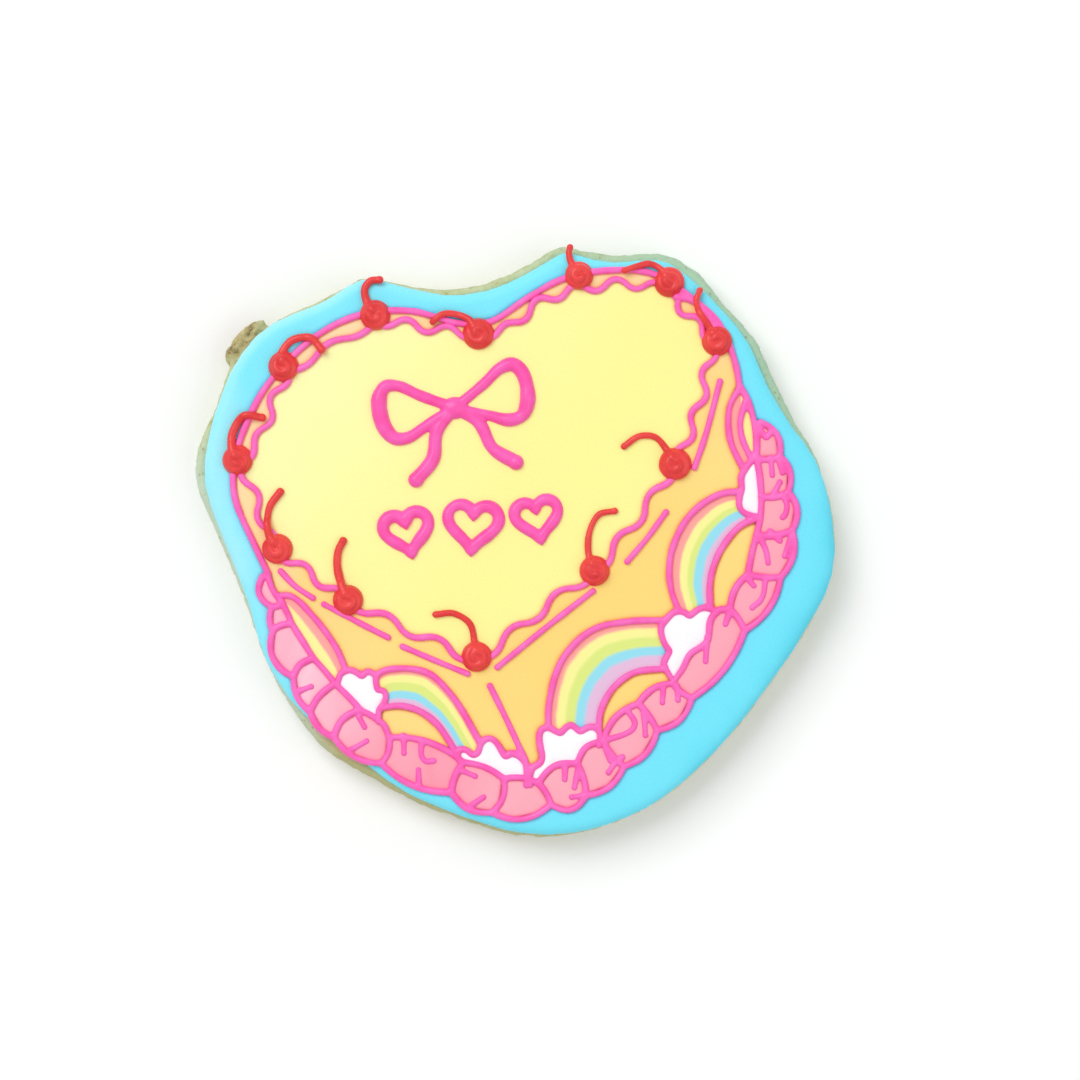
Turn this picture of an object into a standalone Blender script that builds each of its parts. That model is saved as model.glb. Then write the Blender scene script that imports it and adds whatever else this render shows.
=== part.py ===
"""Decorated sugar biscuit: a heart-shaped party cake drawn in flooded icing, piped lines and cherries.

The biscuit lies flat. +X is its right, +Y its top and +Z is up. Plan sizes below are in millimetres
from the middle of the biscuit, and the meshes are made in metres.
"""
import bmesh
import bpy
import math
from mathutils import Vector

# Driving dimensions, in millimetres
MM = 0.001
GAP = 0.3                    # clearance between pieces that touch
EDGE_STEP = 4.6              # longest facet of the biscuit's and the blue icing's edge
EDGE_TURN = 20               # and how far it may turn, in degrees
BISCUIT_THICK = 8.0
ICING_THICK = 2.0
ICING_BASE = BISCUIT_THICK + GAP
ICING_TOP = ICING_BASE + ICING_THICK
LINE_WIDTH = 1.25            # piped outline
LINE_HEIGHT = 0.75
LINE_BASE = ICING_TOP + GAP
JOINT_OVERLAP = 0.25         # how far a line runs on into the next, as a share of its width
ICING_ROUND = 1.1            # rounded shoulder of the blue icing
MOTIF_WIDTH = 2.3            # thick piping of the bow and hearts
MOTIF_HEIGHT = 0.95
SINK = 0.4                   # how deep fused piping is set into its icing
STEM_RADIUS = 0.55
STEM_LOW = 0.9               # stem axis above the icing where it lies clear
STEM_OVER = 1.95             # stem axis above the icing where it arches over a line
CHERRY_HEIGHT = 2.7
WAVE_DEPTH = 0.9             # piped zigzag round the heart
WAVE_POINTS = 3              # points for each half wave
PLAN_SHIFT = (-0.28, -0.33)   # brings the bounding box over the origin

# Biscuit edge, clockwise from the top left: x, y and how much bare rim shows inside it
BISCUIT_EDGE = (
    (-36.4, 46.0, 0.9), (-28.4, 50.1, 0.5), (-20.5, 48.8, 0.6), (-13.3, 47.9, 1.3),
    (-5.6, 49.1, 1.8), (2.6, 52.6, 1.8), (9.3, 56.2, 1.7), (18.0, 54.4, 1.7),
    (27.9, 54.8, 1.7), (34.4, 51.7, 2.3), (39.5, 45.4, 1.4), (45.3, 39.2, 1.8),
    (49.2, 31.0, 2.0), (52.6, 24.1, 1.6), (57.3, 15.9, 0.6), (60.3, 5.0, 0.5),
    (60.2, -6.0, 0.5), (54.3, -18.0, 0.5), (46.2, -29.7, 0.5), (38.0, -39.6, 0.5),
    (27.4, -48.7, 0.5), (15.4, -54.0, 0.5), (2.8, -55.5, 1.0), (-8.2, -52.8, 1.1),
    (-20.0, -48.2, 1.2), (-29.2, -43.0, 2.2), (-36.6, -38.2, 2.7), (-43.0, -29.4, 0.9),
    (-47.2, -21.5, 0.5), (-51.0, -10.3, 0.9), (-56.0, 1.6, 1.1), (-60.0, 11.6, 2.0),
    (-59.6, 18.4, 2.1), (-56.3, 25.6, 0.6), (-53.4, 34.0, 1.1), (-46.3, 41.2, 0.5),
)
CRUMB_CHUNK = (
    (-53.0, 33.2), (-54.6, 34.2), (-54.7, 36.0), (-53.2, 38.4), (-51.4, 40.6), (-49.0, 42.3),
    (-47.0, 42.4), (-46.8, 40.4), (-50.0, 36.0),
)

# Side of the cake from its left border over the heart's two lobes to the right border
CAKE_EDGE = (
    (-46.1, -5.4), (-48.4, -0.5), (-52.2, 8.6), (-52.3, 15.4), (-49.2, 24.4), (-45.3, 30.8),
    (-37.1, 38.8), (-28.9, 42.8), (-19.4, 43.6), (-9.7, 41.2), (-4.3, 41.6), (3.1, 46.3),
    (9.3, 49.6), (18.0, 51.2), (26.0, 50.6), (32.5, 46.7), (38.5, 41.2), (41.4, 34.4),
    (42.4, 29.4),
)
SIDE_RIGHT = ((42.4, 29.4), (43.9, 26.7), (45.2, 22.6))

# Cherries round the heart: middle, radius, the stem's route, and whether it arches over piping
CHERRIES = (
    ((-25.9, 42.8), 2.9, ((-27.3, 44.9), (-27.9, 47.6), (-26.8, 49.2), (-25.1, 49.4)), False),
    ((-43.1, 33.2), 2.9, ((-43.5, 35.4), (-41.6, 38.0), (-38.0, 38.5), (-35.9, 36.3)), True),
    ((-6.6, 39.3), 3.0, ((-8.4, 42.0), (-11.7, 43.1), (-13.6, 42.8), (-15.1, 41.5)), True),
    ((-51.7, 15.6), 2.9, ((-52.6, 17.4), (-52.7, 20.4), (-50.5, 23.9), (-47.1, 23.6)), True),
    ((-44.2, -1.0), 2.9, ((-45.7, 1.6), (-46.1, 4.1), (-45.6, 7.0), (-43.7, 9.7)), True),
    ((-31.0, -10.6), 2.9, ((-32.1, -8.0), (-33.0, -4.4), (-32.8, -1.4), (-31.9, 0.5)), False),
    ((-6.9, -21.2), 2.9, ((-7.3, -18.5), (-8.2, -15.0), (-11.2, -13.1), (-14.6, -13.3)), False),
    ((15.2, -5.1), 2.9, ((14.1, -2.3), (14.2, 2.0), (16.0, 5.4), (19.0, 6.1)), False),
    ((30.3, 14.9), 3.1, ((28.8, 17.4), (26.6, 19.9), (23.6, 20.1), (20.7, 18.2)), False),
    ((38.1, 38.0), 2.9, ((36.4, 40.9), (34.7, 43.5), (34.2, 45.4), (34.9, 47.4)), True),
    ((29.2, 49.0), 2.9, ((27.7, 51.3), (25.6, 52.4), (23.1, 51.9), (20.8, 51.1)), True),
    ((12.3, 50.2), 2.7, ((11.1, 52.0), (10.5, 53.6), (10.4, 54.8), (10.7, 55.6)), False),
)

# Zigzag line of the heart: for each stretch between cherries, where it starts under its cherry, points
# of its middle course, its half waves, and whether the first one goes outwards (1) or inwards (-1)
HEART_STRETCHES = (
    ((-25.9, 41.4), ((-20.2, 41.1), (-14.6, 40.2)), 5, -1),
    ((-6.6, 39.3), ((-1.4, 40.2), (2.8, 43.6), (6.3, 45.9), (10.5, 47.3), (16.1, 48.3), (21.6, 48.7)),
     10, -1),
    ((28.4, 47.4), ((32.2, 43.4),), 4, 1),
    ((37.2, 37.6), ((36.2, 32.0), (34.4, 24.8)), 6, 1),
    ((30.3, 14.9), ((26.3, 8.9), (21.9, 2.9)), 5, 1),
    ((15.2, -5.1), ((8.3, -10.1), (2.0, -15.0)), 5, 1),
    ((-6.9, -21.2), ((-14.8, -18.4), (-22.4, -14.9)), 5, 1),
    ((-31.0, -10.6), ((-37.6, -6.0),), 4, -1),
    ((-44.2, -1.0), ((-47.9, 7.2),), 4, -1),
    ((-50.4, 15.2), ((-47.1, 20.6), (-45.2, 26.0)), 5, -1),
    ((-42.0, 32.2), ((-38.5, 34.5), (-33.0, 37.4)), 3, -1),
)

# Separators of the shell border, from the cake's left end to its right: inner and outer end
BORDER_STATIONS = (
    ((-46.1, -5.4), (-47.0, -6.2)), ((-43.5, -10.8), (-45.3, -11.8)), ((-41.5, -15.1), (-45.1, -16.4)),
    ((-37.4, -21.6), (-41.2, -25.0)), ((-33.4, -26.3), (-38.1, -31.5)), ((-28.6, -31.2), (-33.6, -36.3)),
    ((-23.3, -36.3), (-24.8, -41.2)), ((-9.4, -41.0), (-11.6, -46.6)), ((-1.8, -44.1), (-4.0, -50.4)),
    ((4.7, -45.0), (7.0, -48.9)), ((12.0, -41.3), (13.6, -47.2)), ((16.8, -37.1), (20.7, -41.8)),
    ((23.4, -30.0), (26.9, -35.0)), ((29.7, -26.2), (33.4, -29.0)), ((40.6, -12.3), (43.3, -16.3)),
    ((43.9, -5.8), (50.1, -6.3)), ((45.5, 1.6), (52.2, 2.5)), ((46.4, 8.8), (51.5, 9.7)),
    ((45.5, 16.0), (49.9, 16.4)), ((45.2, 22.6), (46.4, 22.7)),
)
# How far each shell bulges between its separators: towards the cake, outwards, and its separator's bow
BORDER_BULGES = (
    (-0.5, 1.6, 0.0), (0.1, 0.5, 0.5), (0.0, 2.1, -0.5), (0.1, 1.0, -0.9), (0.1, 0.9, -0.7), (0.3, 1.4, -1.2),
    (1.5, 1.6, 0.7), (0.7, 1.4, -0.5), (0.7, 2.0, 1.0), (1.6, 1.9, 0.4), (1.3, 1.4, 0.4), (1.4, 1.4, -0.3),
    (1.0, 1.5, 0.3), (0.7, 1.5, -0.3), (0.9, 1.5, 0.3), (0.1, 1.3, -0.3), (-0.3, 1.3, -0.6),
    (-0.2, 1.2, -0.6), (-0.3, 1.5, -0.5),
)
# Shells whose cake side isn't one plain scallop: the places it runs through between its two ends
BORDER_ROUTES = {
    5: ((-26.0, -32.6), (-24.1, -34.2)),
    13: ((31.7, -23.5), (33.0, -20.8), (36.2, -18.5), (36.9, -14.4), (38.4, -12.5)),
}
# Folds piped inside the shells, as routes in plan
SHELL_FOLDS = (
    ((-39.8, -27.5), (-37.9, -26.8)), ((-28.9, -32.6), (-27.9, -34.4)),
    ((-30.2, -38.5), (-28.7, -37.7), (-27.5, -37.0)), ((-20.6, -36.0), (-20.5, -39.3)),
    ((-17.2, -37.0), (-17.2, -39.8), (-16.4, -40.8), (-14.9, -40.7)), ((-17.7, -45.2), (-17.8, -42.4)),
    ((-9.5, -42.6), (-7.2, -43.6)), ((-7.7, -48.9), (-5.6, -47.5)), ((9.7, -41.2), (9.6, -44.2)),
    ((12.2, -42.0), (11.4, -45.7)), ((13.4, -47.2), (10.9, -47.5)), ((16.9, -37.4), (18.1, -40.6)),
    ((20.4, -40.0), (19.1, -41.1), (17.8, -42.9)),
    ((21.4, -31.4), (22.7, -33.4), (22.4, -34.7), (20.9, -35.7), (17.8, -36.7)),
    ((24.4, -31.0), (24.7, -35.9)), ((28.1, -26.6), (27.9, -29.8)), ((30.6, -26.6), (30.8, -29.3)),
    ((40.6, -12.6), (39.7, -15.1)), ((36.3, -17.6), (36.0, -22.1)), ((43.7, -6.4), (45.0, -7.9)),
    ((47.3, -6.3), (46.5, -10.3), (44.7, -12.0)), ((46.0, 1.4), (47.3, -1.3), (47.7, -3.6)),
    ((52.2, 1.6), (50.8, -2.3)), ((48.1, 2.3), (49.9, 0.5)),
    ((50.4, 9.2), (51.2, 7.2), (50.9, 5.4), (50.4, 4.9)),
    ((48.2, 16.0), (48.5, 12.8)), ((49.6, 16.0), (50.4, 13.3)), ((48.8, 9.4), (49.9, 11.5)),
    ((45.4, 22.4), (46.5, 21.0), (47.3, 19.8), (48.2, 20.8)),
)

# Rainbows: outer line, inner line
RAINBOWS = (
    (((6.7, -36.6), (6.6, -30.5), (9.0, -22.0), (14.6, -16.3), (21.6, -14.6), (30.0, -14.4)),
     ((16.0, -36.8), (16.3, -31.6), (18.6, -27.2), (22.6, -24.2), (30.4, -23.4))),
    (((45.0, 9.8), (38.6, 9.2), (33.0, 5.2), (29.6, -1.6), (29.4, -8.0), (31.6, -14.2)),
     ((46.8, 5.2), (42.4, 3.2), (38.4, -2.0), (36.8, -7.6), (37.2, -14.6))),
    (((-27.2, -26.2), (-24.2, -23.8), (-16.4, -24.1), (-11.6, -28.4), (-5.7, -38.2)),
     ((-27.0, -31.2), (-20.4, -30.5), (-15.0, -33.2), (-8.8, -42.6))),
    (((-44.4, -9.8), (-41.6, -9.9), (-37.6, -13.6), (-33.2, -19.6), (-30.9, -25.2)),
     ((-46.0, -13.0), (-42.6, -18.6), (-38.6, -23.6), (-34.4, -28.2))),
    (((42.5, 29.4), (40.5, 25.6), (40.6, 19.4), (43.8, 12.6)),
     ((42.5, 29.4), (44.0, 26.7), (45.2, 21.6), (45.6, 12.8))),
)
# Clouds: the lobed line, clockwise from one end on the border to the other, and a place under the border
CLOUDS = (
    (((-33.0, -26.5), (-32.5, -24.6), (-30.7, -23.7), (-29.3, -24.2), (-28.4, -24.8), (-27.4, -24.0),
      (-26.0, -24.6), (-25.7, -26.4), (-25.4, -27.4), (-24.3, -27.6), (-23.9, -28.6), (-24.3, -30.0),
      (-25.2, -31.2), (-25.3, -33.3)), (-30.6, -33.0)),
    (((-9.9, -41.1), (-10.5, -39.7), (-10.0, -38.6), (-8.8, -38.7), (-7.6, -39.6), (-6.7, -39.2),
      (-6.2, -37.7), (-5.5, -36.8), (-4.3, -36.5), (-3.2, -37.3), (-2.2, -38.9), (-1.5, -39.8),
      (-0.4, -39.3), (1.2, -39.9), (2.3, -41.2), (2.5, -42.8), (2.4, -45.3)), (-3.6, -47.0)),
    (((3.1, -45.2), (3.0, -43.4), (3.6, -42.0), (5.0, -41.1), (5.4, -40.0), (5.0, -38.0),
      (4.8, -35.8), (5.5, -34.7), (6.6, -34.5), (7.8, -35.1), (8.8, -35.5), (9.7, -34.6),
      (10.8, -34.0), (11.7, -34.6), (12.5, -35.2), (13.8, -34.5), (15.1, -34.4), (16.1, -35.3),
      (16.3, -36.5), (16.0, -37.8)), (10.4, -44.4)),
    (((30.0, -25.9), (28.6, -23.6), (28.2, -22.3), (28.9, -20.9), (29.2, -20.1), (28.5, -19.1),
      (27.8, -17.4), (27.6, -15.8), (28.3, -14.6), (29.5, -13.3), (30.6, -12.7), (32.0, -12.9),
      (33.0, -13.5), (34.2, -12.6), (35.6, -12.0), (36.9, -12.2), (38.1, -12.9)), (37.0, -24.0)),
    (((46.0, 4.9), (44.6, 5.2), (43.2, 5.8), (42.3, 7.0), (42.4, 8.9), (42.8, 10.3), (42.6, 12.4),
      (43.4, 13.9), (44.4, 15.3), (45.5, 16.3)), (48.4, 10.4)),
)
# Strokes piped on the cake's side
SIDE_STROKES = (
    ((38.7, 30.4), (35.9, 20.0), (33.9, 14.2)), ((-43.6, -5.2), (-41.0, -7.9), (-37.6, -10.2)),
    ((-35.5, -11.4), (-29.4, -14.6), (-23.5, -17.6)), ((-20.8, -19.3), (-14.0, -22.2), (-8.6, -24.4)),
    ((14.9, -8.9), (5.8, -16.0), (-3.0, -23.2)), ((28.6, 5.9), (25.2, 1.2), (21.3, -3.4)),
)
ARCH_MIDDLE = ((43.4, 26.4), (42.5, 22.8), (42.9, 19.6), (44.7, 15.6))    # inner line of the far rainbow
SEAM_STROKE = ((-4.4, -26.7), (-1.2, -33.2), (2.2, -40.6))
FILLED_PATCH = ((30.6, 46.2), (32.6, 46.8), (35.8, 44.0), (38.0, 41.6), (36.6, 40.6), (34.0, 42.4))

# Bow and hearts piped on the heart's flat top
BOW_KNOT = (-11.0, 25.4)
KNOT_SIZE = (2.6, 2.2)       # half its width and depth
KNOT_HEIGHT = 1.5
BOW_LOOP = (14.0, 8.6)       # reach and height of one loop
BOW_TAIL = (9.5, -12.0)      # where a tail ends, from the knot
BOW_ROLL = math.radians(10)
# Small hearts: middle, width, and roll in degrees
HEARTS = ((-20.0, 2.4, 8.6, 12), (-7.6, 3.6, 9.6, -4), (4.4, 4.9, 8.2, 10))
# Orange fields, each with a place in it
ORANGE_FIELDS = (
    ("cake_side", (12.0, -10.0)), ("arch_fill_1", (24.0, -28.0)), ("arch_fill_2", (41.0, -3.0)),
    ("arch_fill_3", (-18.0, -35.0)),
)

# Colours (red, green, blue), roughness and coat
BISCUIT_COLOUR = (0.61, 0.60, 0.34)
BLUE = (0.16, 0.78, 0.95)
YELLOW = (0.98, 0.95, 0.36)
ORANGE = (1.0, 0.70, 0.20)
PINK = (1.0, 0.12, 0.42)
SALMON = (1.0, 0.40, 0.48)
WHITE = (0.95, 0.96, 1.0)
RED = (0.82, 0.05, 0.05)
RAINBOW_MIX = (0.78, 0.80, 0.50)


def clear_scene():
    """Removes what a new scene starts with."""
    for item in list(bpy.data.objects):
        bpy.data.objects.remove(item, do_unlink=True)


def make_material(name, colour, roughness):
    """Principled material for one kind of icing or dough."""
    material = bpy.data.materials.new(name)
    material.use_nodes = True
    shader = material.node_tree.nodes["Principled BSDF"]
    shader.inputs["Base Color"].default_value = (*colour, 1.0)
    shader.inputs["Roughness"].default_value = roughness
    shader.inputs["Metallic"].default_value = 0.0
    material.diffuse_color = (*colour, 1.0)
    return material


# Curves in plan

def spline(points, closed=False, fine=10):
    """Smooth curve through the points, finely sampled (centripetal Catmull-Rom)."""
    knots = [Vector(p[:2]) for p in points]
    count = len(knots)
    if closed:
        ring = [knots[-1]] + knots + knots[:2]
    else:
        ring = [2 * knots[0] - knots[1]] + knots + [2 * knots[-1] - knots[-2]]
    path = []
    for i in range(count if closed else count - 1):
        p0, p1, p2, p3 = ring[i:i + 4]
        d1 = max((p1 - p0).length, 0.01) ** 0.5
        d2 = max((p2 - p1).length, 0.01) ** 0.5
        d3 = max((p3 - p2).length, 0.01) ** 0.5
        m1 = (p2 - p1) + d2 * ((p1 - p0) / d1 - (p2 - p0) / (d1 + d2))
        m2 = (p2 - p1) + d2 * ((p3 - p2) / d3 - (p3 - p1) / (d2 + d3))
        for k in range(fine):
            t = k / fine
            path.append((2 * t**3 - 3 * t**2 + 1) * p1 + (t**3 - 2 * t**2 + t) * m1
                        + (-2 * t**3 + 3 * t**2) * p2 + (t**3 - t**2) * m2)
    if not closed:
        path.append(knots[-1])
    return path


def arc(start, end, bulge, fine=12):
    """Parabola-like arc whose middle stands out to the left of start to end."""
    a, b = Vector(start), Vector(end)
    out = Vector((a.y - b.y, b.x - a.x)).normalized() * bulge
    return [a.lerp(b, k / fine) + out * 4 * (k / fine) * (1 - k / fine) for k in range(fine + 1)]


def thin_out(path, closed=False, longest=3.0, turn=24.0):
    """Keeps the points a curve needs: one per turn in degrees, and none farther apart than longest."""
    kept = [path[0]]
    turned = 0.0
    for i in range(1, len(path) - 1):
        before = path[i] - path[i - 1]
        after = path[i + 1] - path[i]
        if before.length and after.length:
            turned += math.degrees(before.angle(after))
        if turned > turn or (path[i + 1] - kept[-1]).length > longest:
            kept.append(path[i])
            turned = 0.0
    last = path[-1]
    if closed and (last - path[0]).length < 0.6 * longest and (last - kept[-1]).length < 0.5 * longest:
        return kept
    if not closed or (last - kept[-1]).length > 0.3:
        kept.append(last)
    return kept


def area(outline):
    """Signed area, positive when anticlockwise."""
    return sum(a.x * b.y - b.x * a.y for a, b in zip(outline, outline[1:] + outline[:1])) / 2


def anticlockwise(outline):
    """The outline, turned round if it runs clockwise."""
    return outline if area(outline) > 0 else outline[::-1]


def grown(outline, distance):
    """Anticlockwise outline moved outwards by the distance at each corner, or inwards if negative."""
    outline = anticlockwise(outline)
    result = []
    for before, here, after in zip(outline[-1:] + outline[:-1], outline, outline[1:] + outline[:1]):
        a = (here - before).normalized()
        b = (after - here).normalized()
        out = Vector((a.y + b.y, -a.x - b.x))
        mitre = max(out.length_squared / 2, 0.5)
        result.append(here + out * (distance / mitre))
    return result


def heart_edge():
    """Closed zigzag line of the heart, with its waves laid over a smooth outline."""
    knots = []
    starts = []
    for start, between, _, _ in HEART_STRETCHES:
        starts.append(len(knots))
        knots.append(start)
        knots.extend(between)
    fine = 10
    base = spline(knots, closed=True, fine=fine)
    starts.append(len(knots))
    path = []
    for (_, _, half_waves, way), first, last in zip(HEART_STRETCHES, starts, starts[1:]):
        stretch = [base[i % len(base)] for i in range(first * fine, last * fine + 1)]
        lengths = [0.0]
        for a, b in zip(stretch, stretch[1:]):
            lengths.append(lengths[-1] + (b - a).length)
        steps = half_waves * WAVE_POINTS
        for k in range(steps):
            place = lengths[-1] * k / steps
            i = max(n for n in range(len(lengths) - 1) if lengths[n] <= place)
            along = (stretch[i + 1] - stretch[i]).normalized()
            spot = stretch[i] + along * (place - lengths[i])
            outward = Vector((-along.y, along.x))
            path.append(spot + outward * way * WAVE_DEPTH * math.sin(math.pi * half_waves * k / steps))
    return path


def border_arcs():
    """Inner and outer scallop of each shell, left to right."""
    arcs = []
    for index, (inward, outward, _) in enumerate(BORDER_BULGES):
        (a_in, a_out), (b_in, b_out) = BORDER_STATIONS[index:index + 2]
        inner = arc(a_in, b_in, inward)
        if index in BORDER_ROUTES:
            inner = spline((a_in, *BORDER_ROUTES[index], b_in))
        arcs.append((inner, arc(a_out, b_out, -outward)))
    return arcs


def separator(index):
    """Line between two shells, from its inner to its outer end."""
    between_shells = 0 < index < len(BORDER_BULGES)
    inner, outer = BORDER_STATIONS[index]
    return arc(inner, outer, BORDER_BULGES[index][2] if between_shells else 0.0)


def cloud_edge(points):
    """Lobed line of a cloud, from one end on the border to the other."""
    return thin_out(spline(points, fine=6), longest=3.4, turn=47)


def border_line(path):
    """Scallop or separator with only the points it needs."""
    return thin_out(path, longest=4.8, turn=38)


# Solids

def add_object(name, mesh, material):
    """Puts a finished mesh in the scene under its name."""
    item = bpy.data.objects.new(name, mesh)
    bpy.context.scene.collection.objects.link(item)
    mesh.materials.clear()
    mesh.materials.append(material)
    return item


def in_metres(x, y, z):
    """A plan place and a height in millimetres as a place in the model."""
    return MM * (x + PLAN_SHIFT[0]), MM * (y + PLAN_SHIFT[1]), MM * z


def loft(name, rings, material):
    """Closed solid through rings of the same number of points, each a list of (x, y, z)."""
    work = bmesh.new()
    rows = []
    for ring in rings:
        rows.append([work.verts.new(in_metres(x, y, z)) for x, y, z in ring])
    work.faces.new(rows[0][::-1])
    for low, high in zip(rows, rows[1:]):
        for i in range(len(low)):
            j = (i + 1) % len(low)
            work.faces.new((low[i], low[j], high[j], high[i]))
    work.faces.new(rows[-1])
    bmesh.ops.recalc_face_normals(work, faces=work.faces)
    mesh = bpy.data.meshes.new(name)
    work.to_mesh(mesh)
    work.free()
    return add_object(name, mesh, material)


def spaced(outline, least=0.25):
    """The outline without corners closer together than a least distance."""
    kept = []
    for spot in outline:
        if not kept or (spot - kept[-1]).length > least:
            kept.append(spot)
    return kept if (kept[0] - kept[-1]).length > least else kept[:-1]


def slab(name, outline, material, low=ICING_BASE, high=ICING_TOP, edge=0.0):
    """Flat icing of one outline, with a rounded edge if it has a width."""
    outline = anticlockwise(spaced(outline))
    rings = [[(p.x, p.y, low) for p in outline], [(p.x, p.y, high - edge * 0.8) for p in outline]]
    if edge:
        rings.append([(p.x, p.y, high) for p in grown(outline, -edge)])
    return loft(name, rings, material)


def bead(name, path, material, tips="none", width=LINE_WIDTH, height=LINE_HEIGHT, base=LINE_BASE, low=0.0):
    """Piped line along a path: flat below, rounded above. Its free ends taper, and its joined ends run on
    into the line they meet; tips can be closed, none, end or both."""
    closed = tips == "closed"
    path = [p.copy() for p in path]
    scale = [1.0] * len(path)
    if tips == "none":
        path[0] += (path[0] - path[1]).normalized() * width * JOINT_OVERLAP
        path[-1] += (path[-1] - path[-2]).normalized() * width * JOINT_OVERLAP
    if tips in ("end", "both"):
        path.append(path[-1] + (path[-1] - path[-2]).normalized() * width * 0.35)
        scale.append(0.5)
    if tips == "both":
        path.insert(0, path[0] + (path[0] - path[1]).normalized() * width * 0.35)
        scale.insert(0, 0.5)
    foot = -low / height
    profile = ((-0.5, foot), (-0.5, 0.25), (-0.3, 1.0), (0.3, 1.0), (0.5, 0.25), (0.5, foot))
    if not low:
        profile = ((-0.5, 0.0), (-0.31, 1.0), (0.31, 1.0), (0.5, 0.0))
    work = bmesh.new()
    rows = []
    count = len(path)
    for i, spot in enumerate(path):
        before = path[i - 1] if closed or i else None
        after = path[(i + 1) % count] if closed or i < count - 1 else None
        a = (spot - before).normalized() if before else (after - spot).normalized()
        b = (after - spot).normalized() if after else a
        side = Vector((a.y + b.y, -a.x - b.x))
        side = side / max(side.length_squared / 2, 0.7)
        row = []
        for across, up in profile:
            x, y = spot + side * across * width * scale[i]
            z = base + (up * height if up < 0 else up * height * (0.55 + 0.45 * scale[i]))
            row.append(work.verts.new(in_metres(x, y, z)))
        rows.append(row)
    turns = count if closed else count - 1
    for i in range(turns):
        near, far = rows[i], rows[(i + 1) % count]
        for k in range(len(profile)):
            n = (k + 1) % len(profile)
            work.faces.new((near[k], near[n], far[n], far[k]))
    if not closed:
        work.faces.new(rows[0])
        work.faces.new(rows[-1][::-1])
    bmesh.ops.recalc_face_normals(work, faces=work.faces)
    mesh = bpy.data.meshes.new(name)
    work.to_mesh(mesh)
    work.free()
    return add_object(name, mesh, material)


def combine(target, others, operation, solver="EXACT"):
    """Applies one Boolean between the target and a collection of others, which are then removed."""
    group = bpy.data.collections.new("operands")
    bpy.context.scene.collection.children.link(group)
    for item in others:
        group.objects.link(item)
        item.hide_render = True
        item.display_type = "WIRE"
    change = target.modifiers.new("combine", "BOOLEAN")
    change.operation = operation
    change.solver = solver
    change.operand_type = "COLLECTION"
    change.collection = group
    bpy.context.view_layer.update()
    graph = bpy.context.evaluated_depsgraph_get()
    result = bpy.data.meshes.new_from_object(target.evaluated_get(graph))
    target.modifiers.clear()
    target.data = result
    for item in others:
        bpy.data.objects.remove(item, do_unlink=True)
    bpy.data.collections.remove(group)
    return target


def loose_pieces(target, smallest):
    """Splits a mesh into its bodies, largest first, and drops those smaller than a plan area in mm2."""
    work = bmesh.new()
    work.from_mesh(target.data)
    bodies = []
    seen = set()
    for start in work.faces:
        if start.index in seen:
            continue
        seen.add(start.index)
        body = [start]
        for face in body:
            for edge in face.edges:
                for other in edge.link_faces:
                    if other.index not in seen:
                        seen.add(other.index)
                        body.append(other)
        top = sum(f.calc_area() for f in body if f.normal.z > 0.7) / MM**2
        bodies.append((top, [f.index for f in body]))
    work.free()
    bodies.sort(reverse=True)
    return [indices for size, indices in bodies if size > smallest]


def keep_faces(target, indices, name):
    """New object holding only the given faces of a mesh."""
    wanted = set(indices)
    work = bmesh.new()
    work.from_mesh(target.data)
    work.faces.ensure_lookup_table()
    bmesh.ops.delete(work, geom=[f for f in work.faces if f.index not in wanted], context="FACES")
    mesh = bpy.data.meshes.new(name)
    work.to_mesh(mesh)
    work.free()
    return add_object(name, mesh, target.data.materials[0])


def add_biscuit(material):
    """Baked biscuit: an uneven rounded slab with one crumb standing out at its top left."""
    edge = thin_out(spline(BISCUIT_EDGE, closed=True), closed=True, longest=EDGE_STEP, turn=EDGE_TURN)
    edge = anticlockwise(edge)
    # Rows up the side: how far each is set in from the edge, and its height
    rows = ((1.1, 0.0), (0.1, 1.4), (0.0, 6.6), (0.9, BISCUIT_THICK))
    rings = [[(p.x, p.y, height) for p in grown(edge, -inset)] for inset, height in rows]
    biscuit = loft("biscuit", rings, material)
    chunk_edge = anticlockwise([Vector(p) for p in CRUMB_CHUNK])
    rows = ((0.8, 1.8), (0.1, 3.4), (0.0, 5.6), (0.5, 7.0), (1.2, 7.6))
    rings = [[(p.x, p.y, height) for p in grown(chunk_edge, -inset)] for inset, height in rows]
    return combine(biscuit, [loft("chunk", rings, material)], "UNION")


def add_blue_icing(material, cake):
    """Blue icing round the cake, with a rounded outer edge."""
    edge = spline(BISCUIT_EDGE, closed=True)[::-1]
    rims = spline([(row[2], 0.0) for row in BISCUIT_EDGE], closed=True)[::-1]
    moved = []
    for here, pushed, rim in zip(edge, grown(edge, -1.0), rims):
        moved.append(here + (pushed - here) * rim.x)
    outline = thin_out(moved, closed=True, longest=EDGE_STEP, turn=EDGE_TURN)
    rings = [
        [(p.x, p.y, ICING_BASE) for p in outline],
        [(p.x, p.y, ICING_TOP - 0.8 * ICING_ROUND) for p in outline],
        [(p.x, p.y, ICING_TOP) for p in grown(outline, -ICING_ROUND)],
    ]
    icing = loft("blue_icing", rings, material)
    hole = slab("hole", grown(cake, GAP / 2), material, ICING_BASE - 1, ICING_TOP + 1)
    return keep_largest(combine(icing, [hole], "DIFFERENCE"))


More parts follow.
